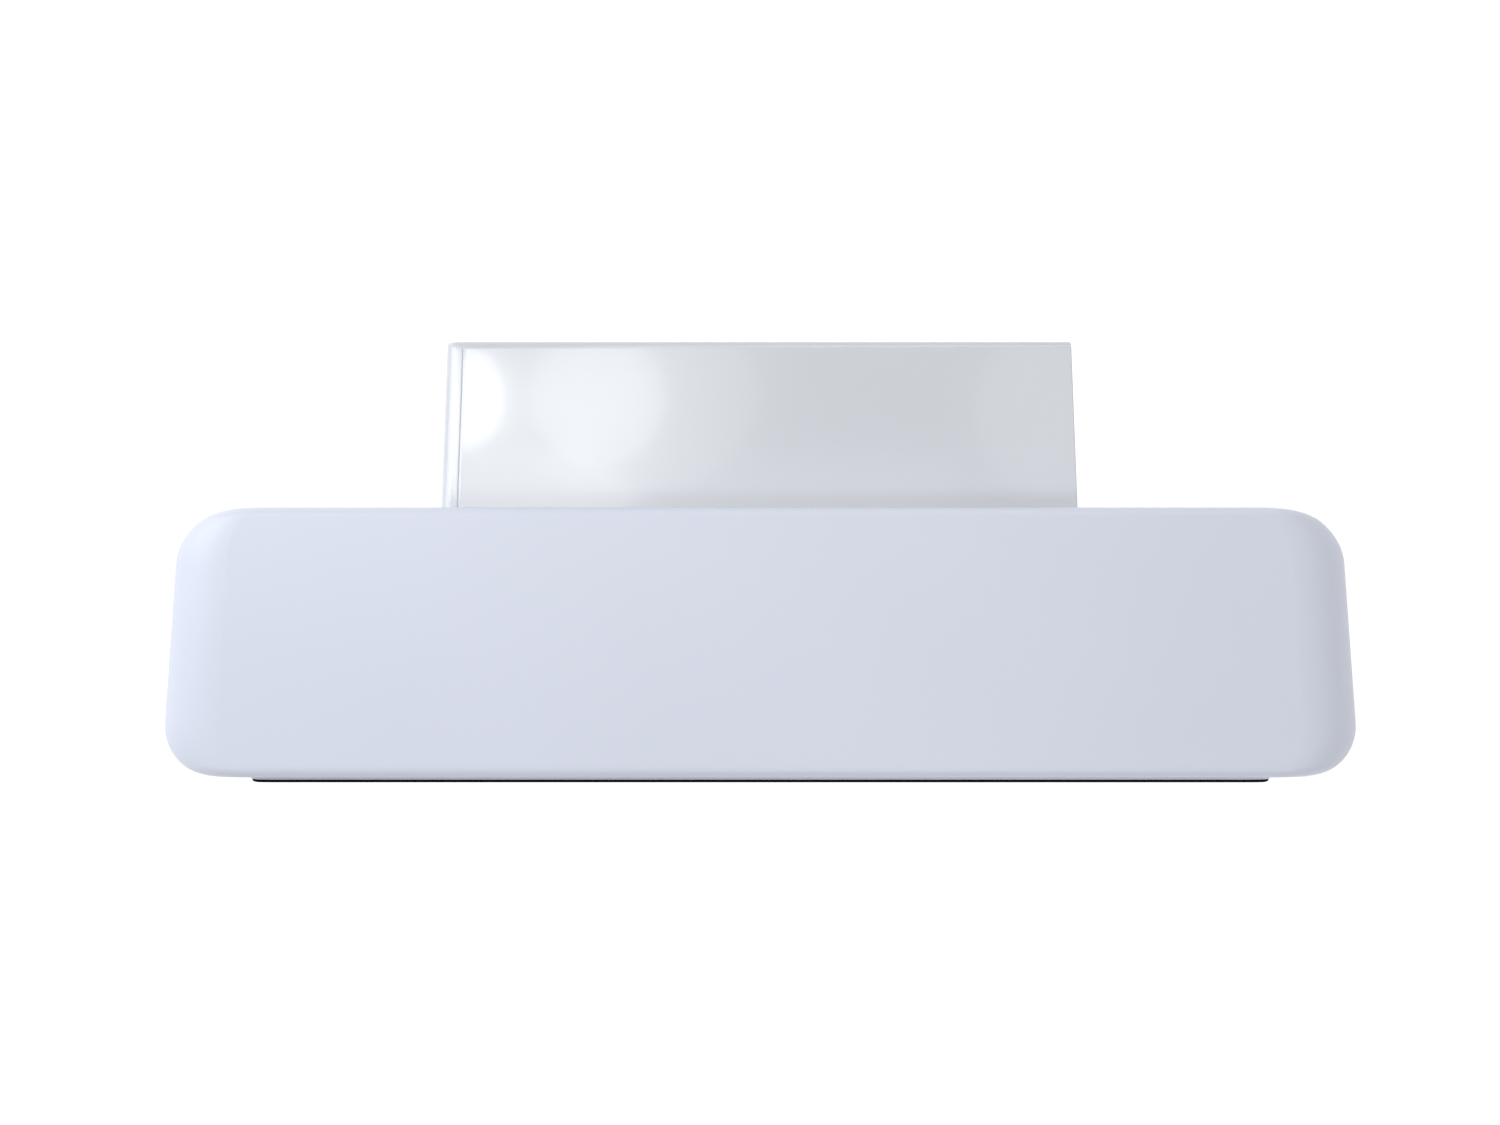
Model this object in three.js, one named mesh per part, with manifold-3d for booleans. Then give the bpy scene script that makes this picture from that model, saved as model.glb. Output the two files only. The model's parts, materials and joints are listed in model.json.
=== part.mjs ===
// Wall battery unit: a satin white case with a black glass front, a folded sheet-metal housing behind it that holds
// the power converter, and the wall bracket that both hang on.
// Millimetres, +Z up. The wall is the plane y = 0, the front faces -Y, and the origin is the centre of the bracket's
// back face.
import * as THREE from "three";
import { mergeVertices } from "three/addons/utils/BufferGeometryUtils.js";
import Module from "manifold-3d";

const wasm = await Module();
wasm.setup();

// ---- Driving dimensions -------------------------------------------------------------------------------------------

const GAP = 0.3; // between pieces that touch
const OVERRUN = 1; // how far a cutter runs past its solid, and a joined solid into its neighbour
const LAP = 0.5; // the same for thin solids
const SLIVER = 0.01; // keeps a full round end from closing on itself
const HEXAGON = 6; // sides of a nut
const SMALL_SIDES = 12; // sides of a small round rod

const CASE_WIDTH = 644;
const CASE_DEPTH = 141;
const CASE_TOP = 220;
const CASE_BOTTOM = -480;
const CASE_REAR = -98.5;
const CASE_FRONT = CASE_REAR - CASE_DEPTH;
const CASE_WALL = 3;
const PLAN_CORNER = { across: 36, deep: 28 }; // oval corners seen from above
const FACE_RADIUS = 43; // corners seen from the front
const EDGE_RADIUS = 5; // top and bottom edges seen from the side
const CORNER_STEPS = 6;
const EDGE_STEPS = 3;

const GLASS_WIDTH = 538;
const GLASS_MARGIN = 9; // from the case's top and bottom
const GLASS_RADIUS = 15;
const GLASS_THICKNESS = 4;
const GLASS_RECESS = 1.5;
const LIGHT_LENGTH = 120;
const LIGHT_HEIGHT = 3.2;
const LIGHT_Z = 130;
const LIGHT_SET_BACK = 0.1;
const LIGHT_FLANGE = { half: 66, halfHeight: 5, thickness: 3 };
const DISPLAY = { setBack: 4.6, half: 80, halfHeight: 25, thickness: 1.6 };
const LAMP = { count: 8, pitch: 14, half: 2.5, halfHeight: 1.5, depth: 0.8 };
const DISPLAY_PLUG = { x: [50, 70], drop: 14, halfHeight: 5, depth: 8 };

const PANEL_RADIUS = 28;
const PANEL_INSET = 41; // from the case's sides to the rear panel's rebate
const PANEL_MARGIN = 12; // from the case's top and bottom to the rebate
const PANEL_THICKNESS = 2;
const REBATE_DEPTH = 4;
const LEDGE = 7;
const PANEL_FIT = 0.5; // round the panel in its rebate
const GASKET_THICKNESS = 1.3;
const GROMMET = { z: -16, half: 25, halfHeight: 15, collar: 4, reach: 4 };
const VENT = { x: -240, z: 120, hole: 8, shank: 4, nut: 12, nutEnd: 5, cap: 14, capEnd: 7, capSides: 20 };

const CELL_COLUMNS = 8;
const CELL_ROWS = 2;
const CELL = { width: 50, length: 112, height: 160 };
const TERMINAL = { half: 10, halfHeight: 5, depth: 4, offset: 60 };
const CELL_PITCH = 50.6;
const ROW_PITCH = 172;
const LOWER_ROW_Z = -366;
const CELL_BACK = -104.2;
const PLATE_THICKNESS = 4;
const PLATE_MARGIN = 11;
const PLATE_FOOT = 22;
const TIE_ROD = { radius: 4, hole: 4.5, margin: 6, head: 7, headHeight: 6 };
const CARRIER = { thickness: 2, border: 8, slotHalf: 7 };

const BAR_THICKNESS = 3;
const BAR_WIDTH = 16;
const BAR_LAP = 6; // of a bar beyond the middle of a terminal
const BAR_END_Y = -91;
const GROMMET_BAR_X = 12;
const LINK_X = 100;
const LINK_RISE = 2; // of the link above the contactor
const FUSE = { z: [-85, -45], half: 14, depth: 28, blade: 20 };
const CONTACTOR = { z: [5, 70], half: 30, depth: 60, lowerLap: 10, upperLap: 20, upperEnd: 16 };
const FUSE_GAP = 4; // between the fuse and the bar below it
const CONTACTOR_GAP = 6; // between the fuse and the contactor's lower bar
const NECK = { half: 6, margin: 1, halfHeight: 5, drop: 12 };
const BMS = {
  x: [-260, -50],
  z: [20, 190],
  y: -130,
  thickness: 1.6,
  sink: { x: [-240, -70], z: [110, 175], depth: 10 },
  plug: { count: 4, first: -225, pitch: 45, half: 14, z: [26, 36], depth: 9 },
  standoff: { margin: 10, radius: 4 },
};

const HOUSING_WIDTH = 352;
const HOUSING_TOP = 200;
const HOUSING_BOTTOM = -400;
const HOUSING_FRONT = -98;
const HOUSING_REAR = -1;
const SHEET = 1.5;
const FOLD_RADIUS = 10.5; // the left wall folds over the top
const SHOULDER = { across: 3.1, down: 12 }; // the right wall leans in to meet the top at a sharp edge
const FLANGE = 13.5;
const BACK_PLATE_FRONT = -24;
const BACK_PLATE_THICKNESS = 2;
const BACK_PLATE_FOOT = 3; // above the housing's lower end
const MIDDLE_Y = -56; // centre line of fans, glands and controls

const SLOT_COUNT = 8;
const SLOT_PITCH = 7;
const SLOT_HEIGHT = 3.5;
const SLOT_LENGTH = 50;

const FAN_SIZE = 60;
const FAN_DEPTH = 25;
const FAN_X = -159.5;
const FAN_Z = [-5, 75];
const FAN_BORE = 28;
const FAN_BORE_SIDES = 24;
const BLADE_COUNT = 7;
const BLADE_PITCH_DEG = 40;
const BLADE = { chord: 18, thickness: 1.6, span: 15.5, middle: 18.7, shift: 1 };
const FAN_HUB = { radius: 12, motor: 3, front: 4, rear: 2 };
const FAN_STRUT = { size: [3, 4, 20], middle: 19, count: 3 };

const HEAT_SINK = { x: [-138, 120], z: [-60, 130], back: -84, base: 6, margin: 2 };
const FIN = { count: 13, half: 1.5, end: -28 };
const POWER_BOARD = {
  x: [-138, 120],
  z: [-100, 170],
  y: -90,
  thickness: 1.6,
  module: { x: [-90, -10, 70], z: 35, half: 16, halfHeight: 12, end: -84.3 },
  capacitor: { x: [-90, -45, 45, 90], z: 152, radius: 12, end: -50 },
};
const INDUCTOR = { ring: 24, wire: 12, y: -64, z: -160, sides: 14, wireSides: 8 };

const CONNECTION_PLATE = { thickness: 2, flange: 12, glandHole: 10, earthHole: 4.5 };
const GLAND_X = [-110, -60, -10];
const GLAND = { body: 14, bodyHeight: 7, shank: 9.6, shankEnd: 9, nut: 13, nutHeight: 5 };
const GLAND_DOME = { top: 12.5, bottom: 9, height: 14, middle: 13.5, sides: 12 };
const GLAND_PLUG = { radius: 6, from: 22.5, to: 20 };
const EARTH = { x: 50, shank: 4, below: 16, above: 12, nut: 7.5, nutHeight: 7, headHeight: 5 };

const BRACKET_WIDTH = 300;
const BRACKET_HEIGHT = 240;
const BRACKET_SHEET = 3;
const WALL_SCREW = { x: 120, z: 70, radius: 4.5 };
const RAIL_WIDTH = 260;
const RAIL_Z = 98;
const RAIL_REACH = -15;
const LIP_TOP = 113;
const HOOK = { back: -6.5, overlap: 5 };
const BRACKET_FOOT = -18;
const BRACKET_RADIUS = 8;
const TAB_BACK = -8;
const LOCK_SCREW = { x: 90, y: -13.4, shank: 2.9, head: 5.5, headHeight: 4, hole: 3.5, reach: 10 };
const TAB_Z = -110;

const BREAKER_Z = -292.5;
const BREAKER_WINDOW_HALF = { y: 22, z: 32.5 };
const BREAKER = {
  halfDepth: 18,
  backX: [98, 150],
  backHalf: 42.5,
  noseX: [149, 160],
  noseHalf: 22.5,
  footX: [90, 98.5],
  footHalf: 30,
  bracketX: [88, 91],
};
const BRACKET_GAP = 2; // behind the rear panel
const EAR_RIM = 0.1; // of the hinge's ears outside the barrel
const LEVER_SLOT = { depth: 9, half: 6.5, halfHeight: 19.5 };
const LEVER = { pivotX: 152, restDeg: -38, half: 5.5, hub: 7, handle: [5, 21], handleHalf: 2.5 };
const FLAP = { half: 24, thickness: 2, overlap: 4, lip: 3.5, lipHalf: 15, lipHeight: 3 };
const FLAP_HINGE = { x: 178.9, z: -249.5, radius: 2.5, pin: 1.2, pinEnd: 3, bore: 1.6 };
const HINGE_STRIP = { bottom: 3.5, top: 10, ear: 5 };
const BUTTON_Z = -200;
const BUTTON = { radius: 8.2, proud: 3.3, stop: 9.6, stopLength: 2.5 };
const BUTTON_SIDES = 20;
const BEZEL_SIDES = 24;
const BEZEL = { collar: 13, proud: 2.5, sleeve: 9.8, depth: 8, bore: 8.6, hole: 10.2 };

// ---- Solids and pieces --------------------------------------------------------------------------------------------

const AXIS_X = new THREE.Vector3(1, 0, 0);
const AXIS_Y = new THREE.Vector3(0, 1, 0);
const AXIS_Z = new THREE.Vector3(0, 0, 1);
const ALONG = {
  x: new THREE.Matrix4().makeBasis(AXIS_Y, AXIS_Z, AXIS_X),
  y: new THREE.Matrix4().makeBasis(AXIS_X, AXIS_Z, AXIS_Y.clone().negate()),
  z: new THREE.Matrix4(),
};

function solidFrom(geometry) {
  geometry.deleteAttribute("normal");
  geometry.deleteAttribute("uv");
  const merged = mergeVertices(geometry, 1e-4);
  const vertProperties = merged.attributes.position.array;
  const triVerts = new Uint32Array(merged.index.array);
  return new wasm.Manifold(new wasm.Mesh({ numProp: 3, vertProperties, triVerts }));
}

function block(x, y, z) {
  const box = new THREE.BoxGeometry(x[1] - x[0], y[1] - y[0], z[1] - z[0]);
  box.translate((x[0] + x[1]) / 2, (y[0] + y[1]) / 2, (z[0] + z[1]) / 2);
  return solidFrom(box);
}

// A flat shape extruded along an axis. Along x the shape lies in (y, z), along y in (x, z), along z in (x, y).
function prism(shape, axis, from, to, curveSegments = CORNER_STEPS) {
  const geometry = new THREE.ExtrudeGeometry(shape, { depth: to - from, bevelEnabled: false, curveSegments });
  geometry.applyMatrix4(ALONG[axis]);
  const start = axis === "y" ? to : from;
  const shift = { x: [start, 0, 0], y: [0, start, 0], z: [0, 0, start] }[axis];
  geometry.translate(...shift);
  return solidFrom(geometry);
}

function roundedRectangle(u, v, radius) {
  const shape = new THREE.Shape();
  shape.absarc(u[1] - radius, v[0] + radius, radius, -Math.PI / 2, 0);
  shape.absarc(u[1] - radius, v[1] - radius, radius, 0, Math.PI / 2);
  shape.absarc(u[0] + radius, v[1] - radius, radius, Math.PI / 2, Math.PI);
  shape.absarc(u[0] + radius, v[0] + radius, radius, Math.PI, 1.5 * Math.PI);
  return shape;
}

function ovalRectangle(u, v, across, deep) {
  const shape = new THREE.Shape();
  shape.absellipse(u[1] - across, v[0] + deep, across, deep, -Math.PI / 2, 0);
  shape.absellipse(u[1] - across, v[1] - deep, across, deep, 0, Math.PI / 2);
  shape.absellipse(u[0] + across, v[1] - deep, across, deep, Math.PI / 2, Math.PI);
  shape.absellipse(u[0] + across, v[0] + deep, across, deep, Math.PI, 1.5 * Math.PI);
  return shape;
}

// A round rod along an axis, whose centre line passes through the point (a, b) of the other two axes.
function rod(axis, [a, b], radius, from, to, sides = 16) {
  const geometry = new THREE.CylinderGeometry(radius, radius, to - from, sides);
  const middle = (from + to) / 2;
  if (axis === "x") {
    geometry.rotateZ(-Math.PI / 2);
    geometry.translate(middle, a, b);
  } else if (axis === "y") {
    geometry.translate(a, middle, b);
  } else {
    geometry.rotateX(Math.PI / 2);
    geometry.translate(a, b, middle);
  }
  return solidFrom(geometry);
}

function joined(...solids) {
  return solids.reduce((whole, solid) => whole.add(solid));
}

function spread(middle, half) {
  return [middle - half, middle + half];
}

function material(color, roughness, metalness, opacity = 1) {
  return new THREE.MeshStandardMaterial({ color, roughness, metalness, opacity, transparent: opacity < 1 });
}

function piece(name, solid, look) {
  const mesh = solid.getMesh();
  const geometry = new THREE.BufferGeometry();
  geometry.setAttribute("position", new THREE.BufferAttribute(mesh.vertProperties, 3));
  geometry.setIndex(new THREE.BufferAttribute(mesh.triVerts, 1));
  geometry.computeVertexNormals();
  const result = new THREE.Mesh(geometry, look);
  result.name = name;
  return result;
}

const LOOK = {
  caseWhite: material(0xe3e7f2, 0.45, 0),
  housingWhite: material(0xe9ebec, 0.25, 0),
  glass: material(0x050506, 0.06, 0),
  light: material(0xdfe8ff, 0.3, 0),
  steel: material(0xa9adb0, 0.4, 1),
  aluminium: material(0xc4c6c8, 0.35, 1),
  cell: material(0xb9bcc2, 0.35, 1),
  copper: material(0xb87345, 0.3, 1),
  board: material(0x1d4d33, 0.5, 0),
  blackPlastic: material(0x17181a, 0.5, 0),
  greyPlastic: material(0x8d9194, 0.5, 0),
  rubber: material(0x1b1b1c, 0.85, 0),
  clear: material(0xd9e2e6, 0.08, 0, 0.4),
};

// ---- Case ---------------------------------------------------------------------------------------------------------

const HALF_CASE = CASE_WIDTH / 2;

// The case's outer form, shrunk by an inset: where three rounded outlines meet.
function caseForm(inset) {
  const x = spread(0, HALF_CASE - inset);
  const y = [CASE_FRONT + inset, CASE_REAR - inset];
  const z = [CASE_BOTTOM + inset, CASE_TOP - inset];
  const planShape = ovalRectangle(x, y, PLAN_CORNER.across - inset, PLAN_CORNER.deep - inset);
  const plan = prism(planShape, "z", z[0], z[1]);
  const face = prism(roundedRectangle(x, z, FACE_RADIUS - inset), "y", y[0], y[1]);
  const side = prism(roundedRectangle(y, z, EDGE_RADIUS - inset), "x", x[0], x[1], EDGE_STEPS);
  return plan.intersect(face).intersect(side);
}

function panelOutline(shrink, radius) {
  const x = spread(0, HALF_CASE - PANEL_INSET - shrink);
  const z = [CASE_BOTTOM + PANEL_MARGIN + shrink, CASE_TOP - PANEL_MARGIN - shrink];
  return roundedRectangle(x, z, radius);
}

const GLASS_X = spread(0, GLASS_WIDTH / 2);
const GLASS_Z = [CASE_BOTTOM + GLASS_MARGIN, CASE_TOP - GLASS_MARGIN];
const GLASS_BACK = CASE_FRONT + GLASS_RECESS - GAP;
const GLASS_FACE = GLASS_BACK - GLASS_THICKNESS;
const INSIDE_FRONT = CASE_FRONT + CASE_WALL;

function lightOutline(grow) {
  const half = LIGHT_HEIGHT / 2 + grow;
  return roundedRectangle(spread(0, LIGHT_LENGTH / 2 + grow), spread(LIGHT_Z, half), half - SLIVER);
}

function bodyShell() {
  const rimFront = CASE_REAR - LEDGE;
  const rim = block(spread(0, CASE_WIDTH), [rimFront, 0], [CASE_BOTTOM, CASE_TOP]);
  const hollow = caseForm(CASE_WALL).subtract(rim);
  const rebate = prism(panelOutline(0, PANEL_RADIUS), "y", CASE_REAR - REBATE_DEPTH, CASE_REAR + OVERRUN);
  const opening = prism(panelOutline(LEDGE, PANEL_RADIUS - LEDGE), "y", rimFront - OVERRUN, CASE_REAR);
  const growX = spread(0, GLASS_WIDTH / 2 + GAP);
  const growZ = [GLASS_Z[0] - GAP, GLASS_Z[1] + GAP];
  const recessShape = roundedRectangle(growX, growZ, GLASS_RADIUS);
  const recess = prism(recessShape, "y", CASE_FRONT - OVERRUN, CASE_FRONT + GLASS_RECESS);
  const lightSlot = prism(lightOutline(GAP), "y", CASE_FRONT - OVERRUN, INSIDE_FRONT + OVERRUN, EDGE_STEPS);
  const cuts = [hollow, rebate, opening, recess, lightSlot];
  const solid = cuts.reduce((shell, cut) => shell.subtract(cut), caseForm(0));
  return piece("body_shell", solid, LOOK.caseWhite);
}

function frontGlass() {
  const plate = prism(roundedRectangle(GLASS_X, GLASS_Z, GLASS_RADIUS), "y", GLASS_FACE, GLASS_BACK);
  const slot = prism(lightOutline(GAP), "y", GLASS_FACE - OVERRUN, GLASS_BACK + OVERRUN, EDGE_STEPS);
  return piece("front_glass", plate.subtract(slot), LOOK.glass);
}

function lightGuide() {
  const front = INSIDE_FRONT + GAP;
  const nose = prism(lightOutline(0), "y", GLASS_FACE + LIGHT_SET_BACK, front + OVERRUN, EDGE_STEPS);
  const { half, halfHeight, thickness } = LIGHT_FLANGE;
  const flange = block(spread(0, half), [front, front + thickness], spread(LIGHT_Z, halfHeight));
  return piece("light_guide", nose.add(flange), LOOK.light);
}

function displayBoard() {
  const face = INSIDE_FRONT + DISPLAY.setBack;
  const back = face + DISPLAY.thickness;
  const board = block(spread(0, DISPLAY.half), [face, back], spread(LIGHT_Z, DISPLAY.halfHeight));
  const lamps = Array.from({ length: LAMP.count }, (_, i) => {
    const x = (i - (LAMP.count - 1) / 2) * LAMP.pitch;
    return block(spread(x, LAMP.half), [face - LAMP.depth, face + LAP], spread(LIGHT_Z, LAMP.halfHeight));
  });
  const plugZ = spread(LIGHT_Z - DISPLAY_PLUG.drop, DISPLAY_PLUG.halfHeight);
  const plug = block(DISPLAY_PLUG.x, [back - LAP, face + DISPLAY_PLUG.depth], plugZ);
  return piece("display_board", joined(board, ...lamps, plug), LOOK.board);
}

const PANEL_BACK = CASE_REAR - 0.1;
const PANEL_FRONT = PANEL_BACK - PANEL_THICKNESS;

function panelGasket() {
  const back = PANEL_FRONT - GAP;
  const front = back - GASKET_THICKNESS;
  const ring = prism(panelOutline(1, PANEL_RADIUS - 1), "y", front, back);
  const middle = prism(panelOutline(LEDGE - 1, PANEL_RADIUS - LEDGE), "y", front - OVERRUN, back + OVERRUN);
  return piece("panel_gasket", ring.subtract(middle), LOOK.rubber);
}

function rearPanel() {
  const plate = prism(panelOutline(PANEL_FIT, PANEL_RADIUS - PANEL_FIT), "y", PANEL_FRONT, PANEL_BACK);
  const through = [PANEL_FRONT - OVERRUN, PANEL_BACK + OVERRUN];
  const window = block(spread(0, GROMMET.half), through, spread(GROMMET.z, GROMMET.halfHeight));
  const ventHole = rod("y", [VENT.x, VENT.z], VENT.hole, through[0], through[1]);
  return piece("rear_panel", plate.subtract(window).subtract(ventHole), LOOK.housingWhite);
}

function pressureVent() {
  const at = [VENT.x, VENT.z];
  const shank = rod("y", at, VENT.hole - GAP, PANEL_FRONT - VENT.shank, PANEL_BACK + OVERRUN);
  const cap = rod("y", at, VENT.cap, PANEL_BACK + GAP, PANEL_BACK + VENT.capEnd, VENT.capSides);
  const nut = rod("y", at, VENT.nut, PANEL_FRONT - VENT.nutEnd, PANEL_FRONT - GAP, HEXAGON);
  return piece("pressure_vent", joined(shank, cap, nut), LOOK.blackPlastic);
}

// ---- Battery pack -------------------------------------------------------------------------------------------------

const PACK_HALF = (CELL_COLUMNS * CELL_PITCH) / 2;
const CELL_FRONT = CELL_BACK - CELL.length;
const TERMINAL_FACE = CELL_FRONT - TERMINAL.depth;
const UPPER_ROW_Z = LOWER_ROW_Z + ROW_PITCH;
const PACK_Z = [LOWER_ROW_Z - CELL.height / 2, UPPER_ROW_Z + CELL.height / 2];
const ROD_Z = {
  lower: PACK_Z[0] - TIE_ROD.margin,
  middle: (PACK_Z[0] + PACK_Z[1]) / 2,
  upper: PACK_Z[1] + TIE_ROD.margin,
};
const ROD_Y = (CELL_BACK + CELL_FRONT) / 2;
const LAST_CELL_X = PACK_HALF - CELL_PITCH / 2;

function cell(index) {
  const column = index % CELL_COLUMNS;
  const row = Math.floor(index / CELL_COLUMNS);
  const x = (column - (CELL_COLUMNS - 1) / 2) * CELL_PITCH;
  const z = LOWER_ROW_Z + row * ROW_PITCH;
  const can = block(spread(x, CELL.width / 2), [CELL_FRONT, CELL_BACK], spread(z, CELL.height / 2));
  const terminals = [-TERMINAL.offset, TERMINAL.offset].map((offset) => {
    const terminalZ = spread(z + offset, TERMINAL.halfHeight);
    return block(spread(x, TERMINAL.half), [TERMINAL_FACE, CELL_FRONT + OVERRUN], terminalZ);
  });
  return piece("cell_" + String(index + 1).padStart(2, "0"), joined(can, ...terminals), LOOK.cell);
}

function compressionPlate(name, side) {
  const inner = PACK_HALF + GAP;
  const outer = inner + PLATE_THICKNESS;
  const x = (near, far) => [side * near, side * far].sort((a, b) => a - b);
  const z = [PACK_Z[0] - PLATE_MARGIN, PACK_Z[1] + PLATE_MARGIN];
  const back = PANEL_FRONT - GAP;
  const wall = block(x(inner, outer), [CELL_FRONT, back], z);
  const foot = block(x(inner, outer + PLATE_FOOT), [back - PLATE_THICKNESS, back], z);
  const span = x(inner - OVERRUN, outer + OVERRUN);
  const holes = Object.values(ROD_Z).map((rodZ) =>
    rod("x", [ROD_Y, rodZ], TIE_ROD.hole, span[0], span[1], SMALL_SIDES),
  );
  return piece(name, wall.add(foot).subtract(joined(...holes)), LOOK.aluminium);
}

function tieRod(level) {
  const plateFace = PACK_HALF + GAP + PLATE_THICKNESS + GAP;
  const at = [ROD_Y, ROD_Z[level]];
  const shank = rod("x", at, TIE_ROD.radius, -plateFace - OVERRUN, plateFace + OVERRUN, SMALL_SIDES);
  const heads = [-1, 1].map((side) => {
    const ends = [side * plateFace, side * (plateFace + TIE_ROD.headHeight)].sort((a, b) => a - b);
    return rod("x", at, TIE_ROD.head, ends[0], ends[1], HEXAGON);
  });
  return piece("tie_rod_" + level, joined(shank, ...heads), LOOK.steel);
}

function busbarCarrier() {
  const back = CELL_FRONT - GAP;
  const front = back - CARRIER.thickness;
  const plate = block(spread(0, PACK_HALF), [front, back], PACK_Z);
  const slotX = spread(0, PACK_HALF - CARRIER.border);
  const slots = [LOWER_ROW_Z, UPPER_ROW_Z].flatMap((z) =>
    [-TERMINAL.offset, TERMINAL.offset].map((offset) =>
      block(slotX, [front - OVERRUN, back + OVERRUN], spread(z + offset, CARRIER.slotHalf)),
    ),
  );
  return piece("busbar_carrier", plate.subtract(joined(...slots)), LOOK.blackPlastic);
}

// Bars lie in front of the terminals, one bar thickness deep.
const BAR_Y = [TERMINAL_FACE - GAP - BAR_THICKNESS, TERMINAL_FACE - GAP];
const TAB_Y = [BAR_Y[1] + GAP, BAR_Y[1] + GAP + BAR_THICKNESS];
const BAR_START_Z = UPPER_ROW_Z + TERMINAL.offset - BAR_LAP;
const RAIL_BAR_Z = spread(GROMMET.z, BAR_WIDTH / 2);

function packLeadNegative() {
  const x = spread(-LAST_CELL_X, BAR_WIDTH / 2);
  const riser = block(x, BAR_Y, [BAR_START_Z, RAIL_BAR_Z[1]]);
  const rail = block([x[0], -GROMMET_BAR_X], BAR_Y, RAIL_BAR_Z);
  const tail = block([-GROMMET_BAR_X - BAR_THICKNESS, -GROMMET_BAR_X], [BAR_Y[0], BAR_END_Y], RAIL_BAR_Z);
  return piece("pack_lead_negative", joined(riser, rail, tail), LOOK.copper);
}

function packLeadPositive() {
  const x = spread(LAST_CELL_X, BAR_WIDTH / 2);
  return piece("pack_lead_positive", block(x, BAR_Y, [BAR_START_Z, FUSE.z[0] - FUSE_GAP]), LOOK.copper);
}

function mainFuse() {
  const body = block(spread(LAST_CELL_X, FUSE.half), [TAB_Y[0], TAB_Y[0] + FUSE.depth], FUSE.z);
  const bladeZ = [FUSE.z[0] - FUSE.blade, FUSE.z[1] + FUSE.blade];
  const blade = block(spread(LAST_CELL_X, BAR_WIDTH / 2), TAB_Y, bladeZ);
  return piece("main_fuse", body.add(blade), LOOK.greyPlastic);
}

// The coil block with a lower and an upper bar, each joined to it by a neck.
function contactor() {
  const [low, high] = CONTACTOR.z;
  const barX = spread(LAST_CELL_X, BAR_WIDTH / 2);
  const neckX = spread(LAST_CELL_X, NECK.half);
  const bodyY = [TAB_Y[1] + GAP, TAB_Y[1] + CONTACTOR.depth];
  const body = block(spread(LAST_CELL_X, CONTACTOR.half), bodyY, CONTACTOR.z);
  const lower = block(barX, BAR_Y, [FUSE.z[1] + CONTACTOR_GAP, low + CONTACTOR.lowerLap]);
  const neckZ = [low + NECK.margin, low + CONTACTOR.lowerLap - NECK.margin];
  const neck = block(neckX, [BAR_Y[1] - OVERRUN, TAB_Y[1] + OVERRUN], neckZ);
  const upper = block(barX, TAB_Y, [high - CONTACTOR.upperLap, high + CONTACTOR.upperEnd]);
  const upperNeckZ = spread(high - NECK.drop, NECK.halfHeight);
  const upperNeck = block(neckX, [TAB_Y[1] - OVERRUN, TAB_Y[1] + OVERRUN], upperNeckZ);
  return piece("contactor", joined(body, lower, neck, upper, upperNeck), LOOK.blackPlastic);
}

function linkPositive() {
  const topStart = CONTACTOR.z[1] + LINK_RISE;
  const top = [topStart, topStart + BAR_WIDTH];
  const downX = [LINK_X, LINK_X + BAR_WIDTH];
  const across = block([downX[0], LAST_CELL_X + BAR_WIDTH / 2], BAR_Y, top);
  const down = block(downX, BAR_Y, [RAIL_BAR_Z[0], top[1]]);
  const rail = block([GROMMET_BAR_X, downX[1]], BAR_Y, RAIL_BAR_Z);
  const tail = block([GROMMET_BAR_X, GROMMET_BAR_X + BAR_THICKNESS], [BAR_Y[0], BAR_END_Y], RAIL_BAR_Z);
  return piece("link_positive", joined(across, down, rail, tail), LOOK.copper);
}

function leadGrommet() {
  const x = GROMMET_BAR_X + BAR_THICKNESS / 2;
  const y = [PANEL_FRONT - GROMMET.reach, PANEL_BACK + GROMMET.reach];
  const plug = block(spread(0, GROMMET.half - GAP), y, spread(GROMMET.z, GROMMET.halfHeight - GAP));
  const collarZ = spread(GROMMET.z, GROMMET.halfHeight + GROMMET.collar);
  const collar = block(spread(0, GROMMET.half + GROMMET.collar), [y[0], PANEL_FRONT - GAP], collarZ);
  const slots = [-x, x].map((centre) => {
    const slotX = spread(centre, BAR_THICKNESS / 2 + GAP);
    return block(slotX, [y[0] - OVERRUN, y[1] + OVERRUN], spread(GROMMET.z, BAR_WIDTH / 2 + GAP));
  });
  return piece("lead_grommet", plug.add(collar).subtract(joined(...slots)), LOOK.rubber);
}

function bmsBoard() {
  const { x, z, y: front, sink, plug, standoff } = BMS;
  const back = front + BMS.thickness;
  const board = block(x, [front, back], z);
  const cooler = block(sink.x, [front - sink.depth, front + LAP], sink.z);
  const plugs = Array.from({ length: plug.count }, (_, i) => {
    const plugX = spread(plug.first + i * plug.pitch, plug.half);
    return block(plugX, [front - plug.depth, front + LAP], plug.z);
  });
  const inside = ([from, to]) => [from + standoff.margin, to - standoff.margin];
  const standoffs = inside(x).flatMap((footX) =>
    inside(z).map((footZ) => rod("y", [footX, footZ], standoff.radius, back - LAP, PANEL_FRONT - GAP, HEXAGON)),
  );
  return piece("bms_board", joined(board, cooler, ...plugs, ...standoffs), LOOK.board);
}

// ---- Rear housing -------------------------------------------------------------------------------------------------

const HALF_HOUSING = HOUSING_WIDTH / 2;
const HOUSING_INSIDE = HALF_HOUSING - SHEET;

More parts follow.
